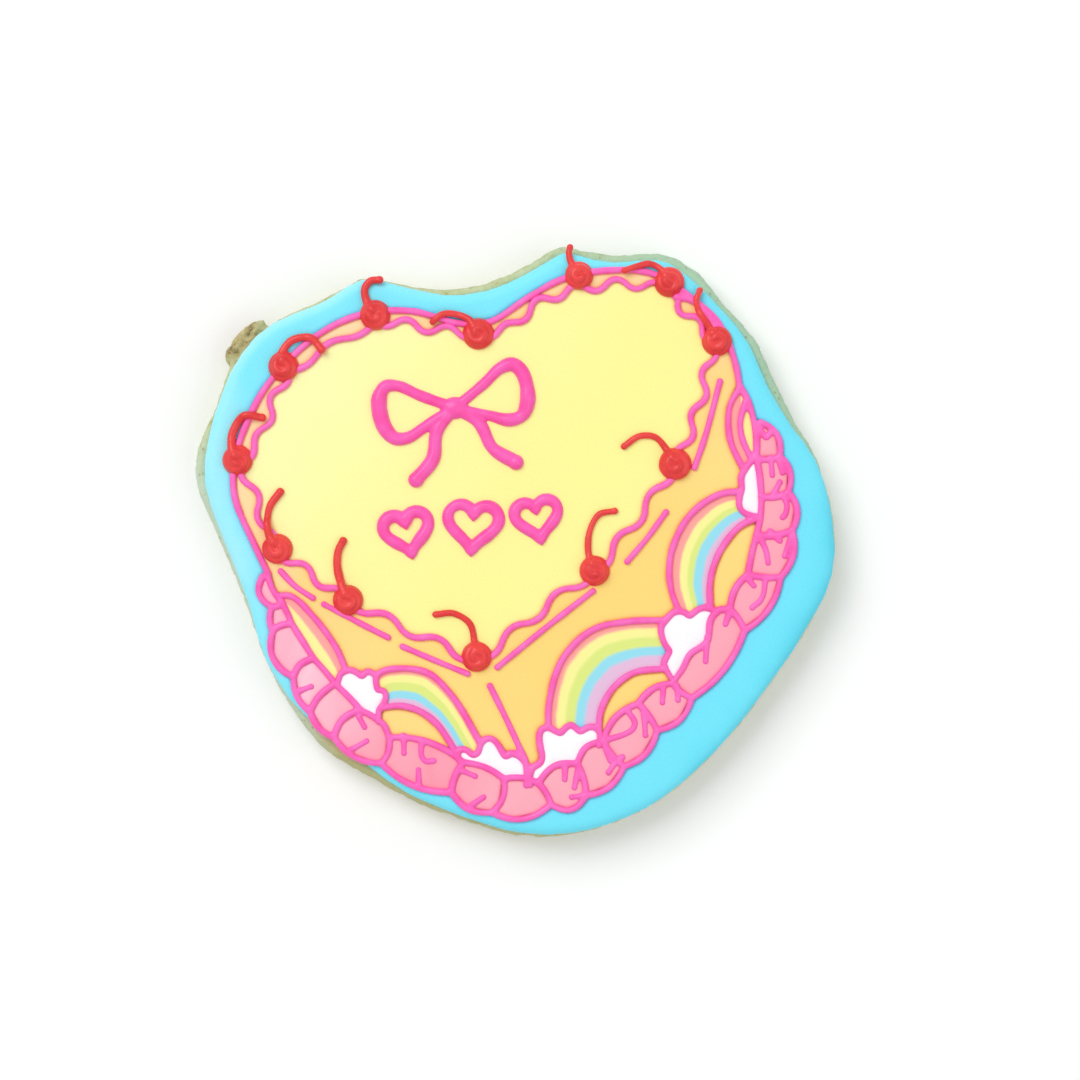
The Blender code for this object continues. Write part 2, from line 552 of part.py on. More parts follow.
def add_heart_top(icing, piping, heart):
    """Yellow heart with a piped bow and small hearts fused to its flat top."""
    top = slab("heart_top", grown(heart, -GAP / 2), icing)
    knot = Vector(BOW_KNOT)
    shapes = [(small_heart(*row), "closed") for row in HEARTS]
    for side in (-1, 1):
        loop = []
        for k in range(11):
            angle = math.pi * (k / 10 - 0.5)
            reach = BOW_LOOP[0] * math.cos(angle) ** 0.7
            rise = BOW_LOOP[1] * 0.6 * math.sin(2 * angle) + 1.6 * math.cos(angle)
            loop.append(turned_about(knot, side * reach, rise))
        shapes.append((thin_out(spline(loop), longest=4.0, turn=30), "none"))
        tail = [
            turned_about(knot, side * BOW_TAIL[0] * across, BOW_TAIL[1] * down)
            for across, down in ((0.0, 0.0), (0.42, 0.3), (0.6, 0.72), (1.0, 1.0))
        ]
        shapes.append((thin_out(spline(tail), longest=4.0, turn=24), "end"))
    beads = []
    for path, tips in shapes:
        beads.append(bead("piping", path, piping, tips, MOTIF_WIDTH, MOTIF_HEIGHT, ICING_TOP, SINK))
    middle = [knot + Vector((KNOT_SIZE[0] * math.cos(a), KNOT_SIZE[1] * math.sin(a))) for a in steps_round(8)]
    beads.append(slab("knot", middle, piping, ICING_TOP - SINK, ICING_TOP + KNOT_HEIGHT, edge=0.6))
    return combine(top, beads, "UNION")


def steps_round(count):
    """Angles of count even steps round a circle."""
    return [2 * math.pi * k / count for k in range(count)]


def turned_about(middle, x, y):
    """A place on the bow, rolled with it."""
    cos, sin = math.cos(BOW_ROLL), math.sin(BOW_ROLL)
    return Vector((middle.x + x * cos - y * sin, middle.y + x * sin + y * cos))


def small_heart(x, y, size, roll):
    """Closed heart curve of one width, rolled by an angle in degrees."""
    cos, sin = math.cos(math.radians(roll)), math.sin(math.radians(roll))
    path = []
    for angle in steps_round(48):
        u = 16 * math.sin(angle) ** 3
        v = 13 * math.cos(angle) - 5 * math.cos(2 * angle) - 2 * math.cos(3 * angle) - math.cos(4 * angle)
        u, v = u * size / 32, v * size / 32
        path.append(Vector((x + u * cos - v * sin, y + u * sin + v * cos)))
    return thin_out(path, closed=True, longest=3.4, turn=40)


def add_cherry(number, middle, radius, stem, over, material, lines):
    """Piped cherry: a domed spiral with a dimple, and its stem, cleared of the line it sits on."""
    middle = Vector(middle)
    # Rows of the dome: share of the radius, and height above the icing
    rows = ((0.9, GAP), (1.0, 1.0), (0.86, 2.0), (0.45, CHERRY_HEIGHT), (0.22, CHERRY_HEIGHT - 0.35))
    rings = []
    for share, height in rows:
        ring = []
        for angle in steps_round(9):
            wobble = 1 + 0.03 * math.sin(3 * angle + number)
            ring.append((middle.x + radius * share * wobble * math.cos(angle),
                         middle.y + radius * share * wobble * math.sin(angle), ICING_TOP + height))
        rings.append(ring)
    cherry = loft(f"cherry_{number:02d}", rings, material)
    route = spline([middle.lerp(Vector(stem[0]), 0.45)] + list(stem), fine=6)
    combine(cherry, [stem_tube(thin_out(route, longest=3.6, turn=34), over, material)], "UNION")
    tunnels = []
    for path, tips in lines:
        for run in runs_near(path, tips == "closed", middle, radius + 1.5):
            tunnels.append(bead("tunnel", run, material, "none", LINE_WIDTH + 2 * GAP + 0.3,
                                LINE_HEIGHT + 2 * GAP, LINE_BASE - GAP, 0.5))
    if tunnels:
        cherry = keep_largest(combine(cherry, tunnels, "DIFFERENCE"))
    return cherry


def runs_near(path, closed, middle, reach):
    """Stretches of a line that come within reach of a middle."""
    points = path + path[:1] if closed else path
    runs = []
    run = []
    for a, b in zip(points, points[1:]):
        along = b - a
        share = max(0.0, min(1.0, (middle - a).dot(along) / max(along.length_squared, 1e-9)))
        if (a + along * share - middle).length < reach:
            run = run or [a]
            run.append(b)
        elif run:
            runs.append(run)
            run = []
    if run:
        runs.append(run)
    if closed and len(runs) > 1 and runs[0][0] == points[0] and runs[-1][-1] == points[-1]:
        runs[0] = runs.pop() + runs[0][1:]
    return runs


def keep_largest(target):
    """Drops the loose scraps of a cut and keeps the largest body."""
    name = target.name
    piece = keep_faces(target, loose_pieces(target, 0.0)[0], name + "_kept")
    bpy.data.objects.remove(target, do_unlink=True)
    piece.name = name
    return piece


def stem_tube(route, over, material):
    """Five-sided stem along a route, thicker at its tip. It leaves the cherry high, and sinks to the icing
    unless it arches over a line."""
    rings = []
    for i, spot in enumerate(route):
        share = i / (len(route) - 1)
        a = route[max(i - 1, 0)]
        b = route[min(i + 1, len(route) - 1)]
        along = (b - a).normalized()
        side = Vector((along.y, -along.x))
        sunk = 0.0 if over else max(0.0, min(1.0, (share - 0.3) / 0.35))
        lift = ICING_TOP + STEM_OVER - (STEM_OVER - STEM_LOW) * sunk
        thick = STEM_RADIUS * (1.0 + 0.35 * max(0.0, share - 0.75) / 0.25)
        ring = []
        for angle in steps_round(5):
            x, y = spot + side * thick * math.cos(angle)
            ring.append((x, y, lift + STEM_RADIUS * math.sin(angle)))
        rings.append(ring)
    return loft("stem", rings, material)


def inside(spot, outline):
    """Whether a place lies inside a closed outline."""
    crossings = 0
    for a, b in zip(outline, outline[1:] + outline[:1]):
        if (a.y > spot.y) != (b.y > spot.y):
            crossings += spot.x < a.x + (spot.y - a.y) / (b.y - a.y) * (b.x - a.x)
    return crossings % 2 == 1


def rainbow_piping(points, covers):
    """Line of a rainbow as far as it shows outside the clouds and the border."""
    path = [p for p in spline(points) if not any(inside(p, cover) for cover in covers)]
    return thin_out(path, longest=5.5, turn=26) if path else []


def pink_lines(heart, cake_line, covers):
    """Every line of the pink outline piping, as (path, tips) pairs."""
    lines = [(heart, "closed"), (cake_line, "none"), (thin_out(spline(SIDE_RIGHT)), "none")]
    for inner, outer in border_arcs():
        lines.append((border_line(inner), "none"))
        lines.append((border_line(outer), "none"))
    for index in range(1, len(BORDER_STATIONS) - 1):
        lines.append((border_line(separator(index)), "none"))
    for fold in SHELL_FOLDS:
        lines.append((thin_out(spline(fold, fine=5), longest=4.0, turn=40), "end"))
    for outer, inner in RAINBOWS:
        for side in (outer, inner):
            path = rainbow_piping(side, covers)
            if len(path) > 2:
                lines.append((path, "none"))
    for points, _ in CLOUDS:
        lines.append((cloud_edge(points), "none"))
    lines.append((rainbow_piping(ARCH_MIDDLE, covers), "none"))
    lines.append((thin_out(spline(SEAM_STROKE)[::-1], longest=8.0), "end"))
    return lines


def rainbow_line(points):
    """Outer or inner line of a rainbow."""
    return thin_out(spline(points), longest=5.5, turn=26)


def main():
    """Builds every piece of the biscuit."""
    clear_scene()
    dough = make_material("baked_dough", BISCUIT_COLOUR, 0.9)
    blue = make_material("blue_icing", BLUE, 0.45)
    yellow = make_material("yellow_icing", YELLOW, 0.45)
    orange = make_material("orange_icing", ORANGE, 0.45)
    pink = make_material("pink_piping", PINK, 0.4)
    salmon = make_material("salmon_icing", SALMON, 0.45)
    white = make_material("white_icing", WHITE, 0.45)
    red = make_material("red_icing", RED, 0.35)
    stripes = make_material("rainbow_icing", RAINBOW_MIX, 0.45)

    heart = heart_edge()
    cake_line = thin_out(spline(CAKE_EDGE), longest=5.5, turn=24)
    right = thin_out(spline(SIDE_RIGHT))
    arcs = [(border_line(inner), border_line(outer)) for inner, outer in border_arcs()]
    inner_chain = [p for inner, _ in arcs for p in inner[:-1]] + [arcs[-1][0][-1]]
    outer_chain = [p for _, outer in arcs for p in outer[:-1]] + [arcs[-1][1][-1]]
    cake = cake_line[:-1] + right + outer_chain[::-1]
    side = cake_line[:-1] + right[:-1] + inner_chain[::-1]
    # Strip from the border's inner line to well outside it, for trimming what ends on it
    border_band = inner_chain + [p + p.normalized() * 4.0 for p in outer_chain[::-1]]
    bands = [rainbow_line(outer) + rainbow_line(inner)[::-1] for outer, inner in RAINBOWS]
    clouds = [cloud_edge(points) + [Vector(below)] for points, below in CLOUDS]

    def cutter(outline, clearance=GAP):
        return slab("cutter", grown(outline, clearance), white, ICING_BASE - 1, ICING_TOP + 1)

    def trimmed(piece, name, cutters):
        """The largest piece that the cutters leave, under its own name."""
        combine(piece, cutters, "DIFFERENCE")
        keep_faces(piece, loose_pieces(piece, 1.0)[0], name)
        bpy.data.objects.remove(piece, do_unlink=True)

    add_biscuit(dough)
    add_blue_icing(blue, cake)
    add_heart_top(yellow, pink, heart)

    # Rainbows, trimmed by their clouds and by the shell border
    for number, band in enumerate(bands, 1):
        cutters = [cutter(cloud) for cloud in clouds] + [cutter(border_band, GAP / 2)]
        trimmed(slab("band", band, stripes), f"rainbow_{number}", cutters)

    # Clouds, trimmed by the shell border
    for number, cloud in enumerate(clouds, 1):
        trimmed(slab("puff", cloud, white, edge=0.5), f"cloud_{number}", [cutter(border_band, GAP / 2)])

    # Orange fields: what the heart, rainbows and clouds leave of the cake's side
    whole = slab("side", grown(side, -GAP / 2), orange)
    cutters = [cutter(heart, GAP / 2)] + [cutter(outline) for outline in bands + clouds]
    combine(whole, cutters, "DIFFERENCE")
    fields = {}
    for indices in loose_pieces(whole, 8.0):
        piece = keep_faces(whole, indices, "field")
        piece.name = nearest_field(piece)
        fields[piece.name] = piece
    bpy.data.objects.remove(whole, do_unlink=True)
    strokes = []
    for stroke in SIDE_STROKES:
        path = thin_out(spline(stroke), longest=9.0)
        strokes.append(bead("stroke", path, pink, "both", LINE_WIDTH, LINE_HEIGHT, ICING_TOP, SINK))
    combine(fields["cake_side"], strokes, "UNION")

    # Shells of the bottom border
    for index, (inner, outer) in enumerate(arcs):
        left = border_line(separator(index))
        far = border_line(separator(index + 1))
        outline = inner[:-1] + far[:-1] + outer[::-1][:-1] + left[::-1][:-1]
        slab(f"shell_{index + 1:02d}", grown(outline, -GAP / 2), salmon, edge=0.4)

    # Pink outline piping in one network
    lines = pink_lines(heart, cake_line, clouds + [border_band])
    beads = [bead("line", path, pink, tips) for path, tips in lines]
    patch = anticlockwise([Vector(p) for p in FILLED_PATCH])
    beads.append(slab("patch", patch, pink, LINE_BASE, LINE_BASE + LINE_HEIGHT))
    network = beads.pop(0)
    network.name = "pink_piping"
    keep_largest(combine(network, beads, "UNION", "MANIFOLD"))

    lines += [(spline(stroke), "both") for stroke in SIDE_STROKES]
    for number, (middle, radius, stem, over) in enumerate(CHERRIES, 1):
        add_cherry(number, middle, radius, stem, over, red, lines)


def nearest_field(piece):
    """Name of the orange field whose place is nearest to a point of the piece."""
    spots = [Vector((v.co.x / MM - PLAN_SHIFT[0], v.co.y / MM - PLAN_SHIFT[1])) for v in piece.data.vertices]
    middle = sum(spots, Vector((0, 0))) / len(spots)
    return min(ORANGE_FIELDS, key=lambda row: (middle - Vector(row[1])).length)[0]


main()
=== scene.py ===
"""Looks of a decorated sugar biscuit: a heart-shaped party cake drawn in flooded royal icing, with piped
pink lines and cherries, on a pale baked biscuit."""
import math

import bmesh
import bpy
from mathutils import Matrix, Vector, kdtree, noise


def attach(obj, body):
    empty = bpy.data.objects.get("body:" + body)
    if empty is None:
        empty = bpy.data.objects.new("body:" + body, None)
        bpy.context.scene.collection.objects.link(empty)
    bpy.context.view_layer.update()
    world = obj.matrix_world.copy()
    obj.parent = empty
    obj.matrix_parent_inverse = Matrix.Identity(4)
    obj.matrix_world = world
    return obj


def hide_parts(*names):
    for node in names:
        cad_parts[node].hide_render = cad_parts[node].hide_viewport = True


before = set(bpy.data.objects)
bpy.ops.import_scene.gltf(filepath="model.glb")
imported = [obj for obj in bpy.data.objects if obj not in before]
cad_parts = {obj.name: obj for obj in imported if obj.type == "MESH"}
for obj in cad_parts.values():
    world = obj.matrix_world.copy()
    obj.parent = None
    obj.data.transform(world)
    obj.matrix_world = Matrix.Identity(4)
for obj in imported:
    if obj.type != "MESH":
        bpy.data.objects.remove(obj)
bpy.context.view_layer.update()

# Biscuit
# A knife-cut slab of pale sugar dough, baked until its rim just dries. Its edge is crumbly and slightly
# cracked, with painted shade in olive brown at the lower left, and one crumb of dough has baked on at the top
# left.
MM = 0.001
# Places in the plan are in millimetres; this shift takes them to the model's middle
PLAN_SHIFT = (-0.28, -0.33)
ICING_TOP = 10.3
DOUGH_VOXEL = 0.5 * MM
# The baked-on crumb in the plan, and how far its colour and pits reach
CRUMB_MIDDLE = (-52.0, 38.2)
CRUMB_REACH = 6.5
# Relief of the dough: how wide and how deep each kind is
LUMP_WIDTH, LUMP_DEPTH = 5.0 * MM, 0.45
GRIT_WIDTH, GRIT_DEPTH = 1.4 * MM, 0.35
PIT_WIDTH, PIT_DEPTH, PIT_THRESHOLD = 1.1 * MM, 3.0, 0.15
LAYER_DEPTH, LAYERS_PER_MM, LAYER_WANDER = 0.12, 3.1, 9 * MM
FOOT_HEIGHT = 0.4 * MM


def srgb(code):
    """Linear colour of a hex value."""
    channels = [int(code[i:i + 2], 16) / 255 for i in (1, 3, 5)]
    return [c / 12.92 if c <= 0.04045 else ((c + 0.055) / 1.055) ** 2.4 for c in channels] + [1.0]


def add_node(tree, kind, feeds=None, **settings):
    """Adds a shader node, sets its properties, and feeds its inputs with outputs or plain values."""
    node = tree.nodes.new(kind)
    for key, value in settings.items():
        setattr(node, key, value)
    for key, feed in (feeds or {}).items():
        if isinstance(feed, bpy.types.NodeSocket):
            tree.links.new(feed, node.inputs[key])
        else:
            node.inputs[key].default_value = feed
    return node


def new_finish(name, roughness):
    """An empty material with a Principled shader, and the plan coordinates in metres."""
    finish = bpy.data.materials.new(name)
    finish.use_nodes = True
    tree = finish.node_tree
    shader = tree.nodes["Principled BSDF"]
    shader.inputs["Roughness"].default_value = roughness
    place = add_node(tree, "ShaderNodeTexCoord").outputs["Object"]
    return finish, tree, shader, place


def set_ramp(ramp, stops):
    """Colour stops of a ramp, as (place, hex) rows."""
    elements = ramp.color_ramp.elements
    while len(elements) < len(stops):
        elements.new(0.5)
    for element, (spot, code) in zip(elements, stops):
        element.position = spot
        element.color = srgb(code)


def plan_drift(tree, place, start, end, rings=False):
    """A share that grows from 0 at one place of the plan to 1 at another, along the line that joins them.
    With rings it is 1 at the first place and 0 on the circle through the second."""
    across, up = end[0] - start[0], end[1] - start[1]
    length = math.hypot(across, up) * MM
    turned = add_node(tree, "ShaderNodeMapping", {
        "Vector": place, "Location": (start[0] * MM, start[1] * MM, 0.0),
        "Rotation": (0.0, 0.0, math.atan2(up, across)), "Scale": (length, length, 1.0)},
        vector_type="TEXTURE")
    drift = add_node(tree, "ShaderNodeTexGradient", {"Vector": turned.outputs[0]},
                     gradient_type="SPHERICAL" if rings else "LINEAR")
    return drift.outputs["Fac"]


def cad_copy(node, cut_height=None):
    """The CAD node's mesh with its loose triangles merged, cut off flat at a height in mm if one is given."""
    work = bmesh.new()
    work.from_mesh(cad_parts[node].data)
    bmesh.ops.remove_doubles(work, verts=work.verts, dist=0.001 * MM)
    if cut_height:
        bmesh.ops.bisect_plane(work, geom=work.verts[:] + work.edges[:] + work.faces[:], dist=1e-7,
                               plane_co=(0, 0, cut_height * MM), plane_no=(0, 0, 1), clear_outer=True)
        bmesh.ops.holes_fill(work, edges=[e for e in work.edges if e.is_boundary])
    return work


def remeshed(name, work, voxel, rounds, swell=0.0):
    """A new object of one even skin over a bmesh, smoothed, and swollen outwards by a distance."""
    mesh = bpy.data.meshes.new(name)
    work.to_mesh(mesh)
    work.free()
    piece = bpy.data.objects.new(name, mesh)
    bpy.context.scene.collection.objects.link(piece)
    skin = piece.modifiers.new("skin", "REMESH")
    skin.mode = "VOXEL"
    skin.voxel_size = voxel
    skin.use_smooth_shade = True
    if swell:
        push = piece.modifiers.new("push", "DISPLACE")
        push.strength = swell
        push.mid_level = 0.0
    even = piece.modifiers.new("even", "SMOOTH")
    even.factor = 0.5
    even.iterations = rounds
    graph = bpy.context.evaluated_depsgraph_get()
    finished = bpy.data.meshes.new_from_object(piece.evaluated_get(graph))
    piece.modifiers.clear()
    piece.data = finished
    bpy.data.meshes.remove(mesh)
    return piece


def reshape(piece, moved):
    """Moves every vertex to where moved(place, normal) puts it."""
    mesh = piece.data
    before = [(v.co.copy(), v.normal.copy()) for v in mesh.vertices]
    mesh.vertices.foreach_set("co", [value for place, normal in before for value in moved(place, normal)])
    mesh.update()


def dress(piece, finish, slot, *nodes):
    """Gives a piece its material and its body, and hides the CAD nodes that it stands for; the slot is not
    used.
    """
    piece.data.materials.clear()
    piece.data.materials.append(finish)
    for face in piece.data.polygons:
        face.use_smooth = True
    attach(piece, "root")
    if nodes:
        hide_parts(*nodes)


def dough_finish():
    """Baked sugar dough: a matt, open crumb that scatters light, with tanned specks. The eye sees a grainy
    greenish cream, mint at the right from a painted reflection of the blue icing, a paler, greener left
    flank, painted shade in olive brown at the lower left, and olive brown on the crumb."""
    finish, tree, shader, place = new_finish("baked_sugar_dough", 0.88)
    crumb = add_node(tree, "ShaderNodeTexNoise",
                     {"Vector": place, "Scale": 1 / (2.2 * MM), "Detail": 6.0, "Roughness": 0.7})
    tone = add_node(tree, "ShaderNodeValToRGB", {"Fac": crumb.outputs["Fac"]})
    set_ramp(tone, ((0.28, "#A39F66"), (0.42, "#BDC390"), (0.56, "#C5CEA2"), (0.8, "#D6E0BA")))
    # Painted reflection of the blue icing: the dough turns mint towards the right
    blue_reflection = add_node(tree, "ShaderNodeMapRange", {
        "Value": plan_drift(tree, place, (30, 4), (54, 22)), "To Max": 0.75})
    mint_reflection = add_node(tree, "ShaderNodeMix", {
        0: blue_reflection.outputs["Result"], 6: tone.outputs["Color"], 7: srgb("#A6D0B6")}, data_type="RGBA")
    # Painted shade: the dough turns olive brown towards the lower left
    lower_left_shade = add_node(tree, "ShaderNodeMapRange", {
        "Value": plan_drift(tree, place, (-18, -26), (-34, -44)), "To Max": 0.85})
    shaded_lower = add_node(tree, "ShaderNodeMix", {
        0: lower_left_shade.outputs["Result"], 6: mint_reflection.outputs[2], 7: srgb("#BFB67D")}, data_type="RGBA")
    # The dough is paler and greener on the left flank
    paler_left = add_node(tree, "ShaderNodeMapRange", {
        "Value": plan_drift(tree, place, (-53, 10), (-58, 8)), "To Max": 0.75})
    flank = add_node(tree, "ShaderNodeMix", {
        0: paler_left.outputs["Result"], 6: shaded_lower.outputs[2], 7: srgb("#CBDFCB")}, data_type="RGBA")
    crumb_edge = (CRUMB_MIDDLE[0] + CRUMB_REACH, CRUMB_MIDDLE[1])
    baked = add_node(tree, "ShaderNodeMapRange", {
        "Value": plan_drift(tree, place, CRUMB_MIDDLE, crumb_edge, rings=True), "From Max": 0.5})
    lump_tone = add_node(tree, "ShaderNodeValToRGB", {"Fac": crumb.outputs["Fac"]})
    set_ramp(lump_tone, ((0.3, "#735A38"), (0.4, "#A99A6C"), (0.55, "#C5B883"), (0.75, "#D2C794")))
    olive = add_node(tree, "ShaderNodeMix", {
        0: baked.outputs["Result"], 6: flank.outputs[2], 7: lump_tone.outputs["Color"]}, data_type="RGBA")
    speck = add_node(tree, "ShaderNodeTexVoronoi", {"Vector": place, "Scale": 1 / (1.6 * MM)})
    near = add_node(tree, "ShaderNodeMapRange", {
        "Value": speck.outputs["Distance"], "From Min": 0.08, "From Max": 0.24,
        "To Min": 0.45, "To Max": 0.0})
    tanned = add_node(tree, "ShaderNodeMix", {
        0: near.outputs["Result"], 6: olive.outputs[2], 7: srgb("#8F6B3A")}, data_type="RGBA")
    tree.links.new(tanned.outputs[2], shader.inputs["Base Color"])
    grit = add_node(tree, "ShaderNodeTexNoise", {"Vector": place, "Scale": 1 / (0.7 * MM), "Detail": 5.0})
    bump = add_node(tree, "ShaderNodeBump", {
        "Height": grit.outputs["Fac"], "Strength": 0.7, "Distance": 0.35 * MM})
    tree.links.new(bump.outputs["Normal"], shader.inputs["Normal"])
    return finish


def crumbled(place, normal):
    """Lumps and grit, most on the sides, faint layers, and pits on the crumb at the top left. All of them
    only take dough away, so the outline stays in its box."""
    side = 1 - abs(normal.z)
    lump = max(0.0, noise.fractal(place / LUMP_WIDTH, 1.0, 2.0, 3)) * LUMP_DEPTH
    grit = max(0.0, noise.fractal(place / GRIT_WIDTH, 1.0, 2.0, 2)) * GRIT_DEPTH
    pit = max(0.0, noise.noise(place / PIT_WIDTH) - PIT_THRESHOLD) * PIT_DEPTH
    phase = place.z / MM * LAYERS_PER_MM + 4 * noise.noise(place / LAYER_WANDER)
    layer = LAYER_DEPTH * (0.5 + 0.5 * math.sin(phase))
    away = math.hypot(place.x / MM - CRUMB_MIDDLE[0], place.y / MM - CRUMB_MIDDLE[1])
    rough = max(0.0, 1 - away / CRUMB_REACH)
    depth = (lump + grit + layer) * MM * (0.25 + 0.75 * side) + pit * min(1.0, 2 * rough) * MM
    if place.z > FOOT_HEIGHT:
        place = place - normal * depth
    return place.x, place.y, max(0.0, place.z)


biscuit = remeshed("biscuit_dough", cad_copy("biscuit"), DOUGH_VOXEL, 4)
reshape(biscuit, crumbled)
dress(biscuit, dough_finish(), "baked_dough", "biscuit")

# Flooded blue icing
# Thinned royal icing poured inside a piped dam. It levels itself, dries hard with a faint sheen, and stands
# on the dough with a round shoulder.
FLOOD_VOXEL = 0.45 * MM
SUGAR_GRAIN = 0.35 * MM
# An icing's underside in part.py lies below this height, and is let down into the dough
UNDERSIDE_LIMIT = 9.0 * MM
UNDERSIDE_SUNK = 7.9 * MM
SIDE_WANDER = 0.12
# Faces steeper than this, by the height of their normal, are the sides of an icing
SIDE_SLOPE = 0.3
# How wide the painted light along the shoulder is in millimetres: mostly, along the top and on the left
SHOULDER = 3.2
TOP_SHOULDER = 1.3
LEFT_SHOULDER = 6.0


def flooded_finish(name, stops, start, end, rings=False, depth=0.10, shoulder_light_stops=None):
    """Dried flooded royal icing: sugar that levelled itself, so almost flat, with a fine sandy sparkle and a
    low satin sheen. Its colour drifts across the plan from start to end, or inwards with rings, and may have
    painted light of its own along a shoulder: painted highlight where it is paler, painted shade where
    deeper."""
    finish, tree, shader, place = new_finish(name, 0.5)
    shader.inputs["IOR"].default_value = 1.5
    shader.inputs["Specular IOR Level"].default_value = 0.3
    cloudy = add_node(tree, "ShaderNodeTexNoise", {"Vector": place, "Scale": 1 / (13 * MM), "Detail": 3.0})
    patchy = add_node(tree, "ShaderNodeMapRange", {
        "Value": cloudy.outputs["Fac"], "From Min": 0.3, "From Max": 0.7, "To Min": -0.05, "To Max": 0.05})
    share = add_node(tree, "ShaderNodeMath", {
        0: plan_drift(tree, place, start, end, rings), 1: patchy.outputs["Result"]}, operation="ADD")
    tone = add_node(tree, "ShaderNodeValToRGB", {"Fac": share.outputs[0]})
    set_ramp(tone, stops)
    colour = tone.outputs["Color"]
    if shoulder_light_stops:
        shoulder_light_tone = add_node(tree, "ShaderNodeValToRGB", {"Fac": share.outputs[0]})
        set_ramp(shoulder_light_tone, shoulder_light_stops)
        shoulder_light_mask = add_node(tree, "ShaderNodeAttribute", attribute_name="shoulder_light_share")
        colour = add_node(tree, "ShaderNodeMix", {
            0: shoulder_light_mask.outputs["Fac"], 6: colour, 7: shoulder_light_tone.outputs["Color"]}, data_type="RGBA").outputs[2]
    # The real 0.1 mm sugar grain is too fine to show, so it is drawn coarser
    grain = add_node(tree, "ShaderNodeTexNoise", {"Vector": place, "Scale": 1 / SUGAR_GRAIN, "Detail": 2.0})
    light = add_node(tree, "ShaderNodeMapRange", {
        "Value": grain.outputs["Fac"], "From Min": 0.3, "From Max": 0.7, "To Min": 0.97, "To Max": 1.02})
    sandy = add_node(tree, "ShaderNodeVectorMath", {
        0: colour, "Scale": light.outputs["Result"]}, operation="SCALE")
    tree.links.new(sandy.outputs["Vector"], shader.inputs["Base Color"])
    pour = add_node(tree, "ShaderNodeTexNoise", {"Vector": place, "Scale": 1 / (6 * MM), "Detail": 1.0})
    relief = add_node(tree, "ShaderNodeMath", {
        0: grain.outputs["Fac"], 1: 0.25, 2: pour.outputs["Fac"]}, operation="MULTIPLY_ADD")
    bump = add_node(tree, "ShaderNodeBump", {
        "Height": relief.outputs[0], "Strength": 0.5, "Distance": depth * MM})
    tree.links.new(bump.outputs["Normal"], shader.inputs["Normal"])
    return finish


def settled(place, normal):
    """Lowers the underside of an icing onto the dough, closing the clearance of the solids, and lets its
    sides wander a little."""
    wander = noise.noise(Vector((place.x, place.y, 0)) / (7 * MM)) * SIDE_WANDER * MM
    height = UNDERSIDE_SUNK if place.z < UNDERSIDE_LIMIT else place.z
    return place.x + normal.x * wander, place.y + normal.y * wander, height


def tree_of(points):
    """Nearest-point finder over plan points in millimetres."""
    finder = kdtree.KDTree(len(points))
    for i, p in enumerate(points):
        finder.insert((p[0], p[1], 0), i)
    finder.balance()
    return finder


def plan(co):
    """A vertex's place in the plan's millimetres."""
    return Vector((co.x / MM - PLAN_SHIFT[0], co.y / MM - PLAN_SHIFT[1], 0))


blue = remeshed("blue_flood", cad_copy("blue_icing"), FLOOD_VOXEL, 8, swell=0.12 * MM)
reshape(blue, settled)
# Sides that face away from the middle are the outer shoulder; the others meet the cake
outer_side = tree_of([plan(v.co) for v in blue.data.vertices
                      if abs(v.normal.z) < SIDE_SLOPE and v.normal.x * v.co.x + v.normal.y * v.co.y > 0])
# Share of the painted light along the outer shoulder, 1 at the edge
shoulder_light_share = blue.data.attributes.new("shoulder_light_share", "FLOAT", "POINT")
for vertex in blue.data.vertices:
    here = plan(vertex.co)
    inward = outer_side.find(here)[2]
    # The painted light along the shoulder is narrow along the top, and widest on the left
    below_top = min(1.0, max(0.0, (32 - here.y) / 10))
    left = min(1.0, max(0.0, (-40 - here.x) / 8))
    reach = TOP_SHOULDER + (SHOULDER - TOP_SHOULDER + (LEFT_SHOULDER - SHOULDER) * left) * below_top
    shoulder_light_share.data[vertex.index].value = math.exp(-((inward / reach) ** 2))
# Painted light: the blue is lighter towards the upper left, where the key lamp is, and deeper towards the
# lower right
BLUE_STOPS = ((0.0, "#80ECFE"), (0.12, "#7BEBFE"), (0.5, "#79EBFE"), (0.9, "#72E8FE"))
# Painted light along the shoulder: painted highlight, paler, on the left and top, and painted shade, deeper,
# at the lower right
BLUE_SHOULDER_LIGHT = ((0.0, "#A6F2FF"), (0.06, "#98F0FE"), (0.2, "#86EDFE"), (0.6, "#76E7FB"), (0.82, "#72E6FB"),
                 (0.93, "#5FDBF2"))
blue_finish = flooded_finish("blue_royal_icing", BLUE_STOPS, (-53, 4), (52, -42), shoulder_light_stops=BLUE_SHOULDER_LIGHT)
dress(blue, blue_finish, "blue_icing", "blue_icing")

# Yellow heart
# The flat top of the cake: one flooded heart of pale yellow icing that runs under the zigzag line.
# Lines that are fused to a flood's solid are cut off at this height, and each flood swells to its neighbours
FLOOD_CUT = ICING_TOP - 0.02
SNUG = 0.2 * MM
yellow = remeshed("yellow_flood", cad_copy("heart_top", FLOOD_CUT), FLOOD_VOXEL, 6, swell=SNUG)
reshape(yellow, settled)
YELLOW_STOPS = ((0.0, "#FCFDB3"), (0.35, "#FDFBA5"), (0.8, "#FCF99B"))
yellow_finish = flooded_finish("yellow_royal_icing", YELLOW_STOPS, (-46, 16), (0, -16))
dress(yellow, yellow_finish, "yellow_icing", "heart_top")

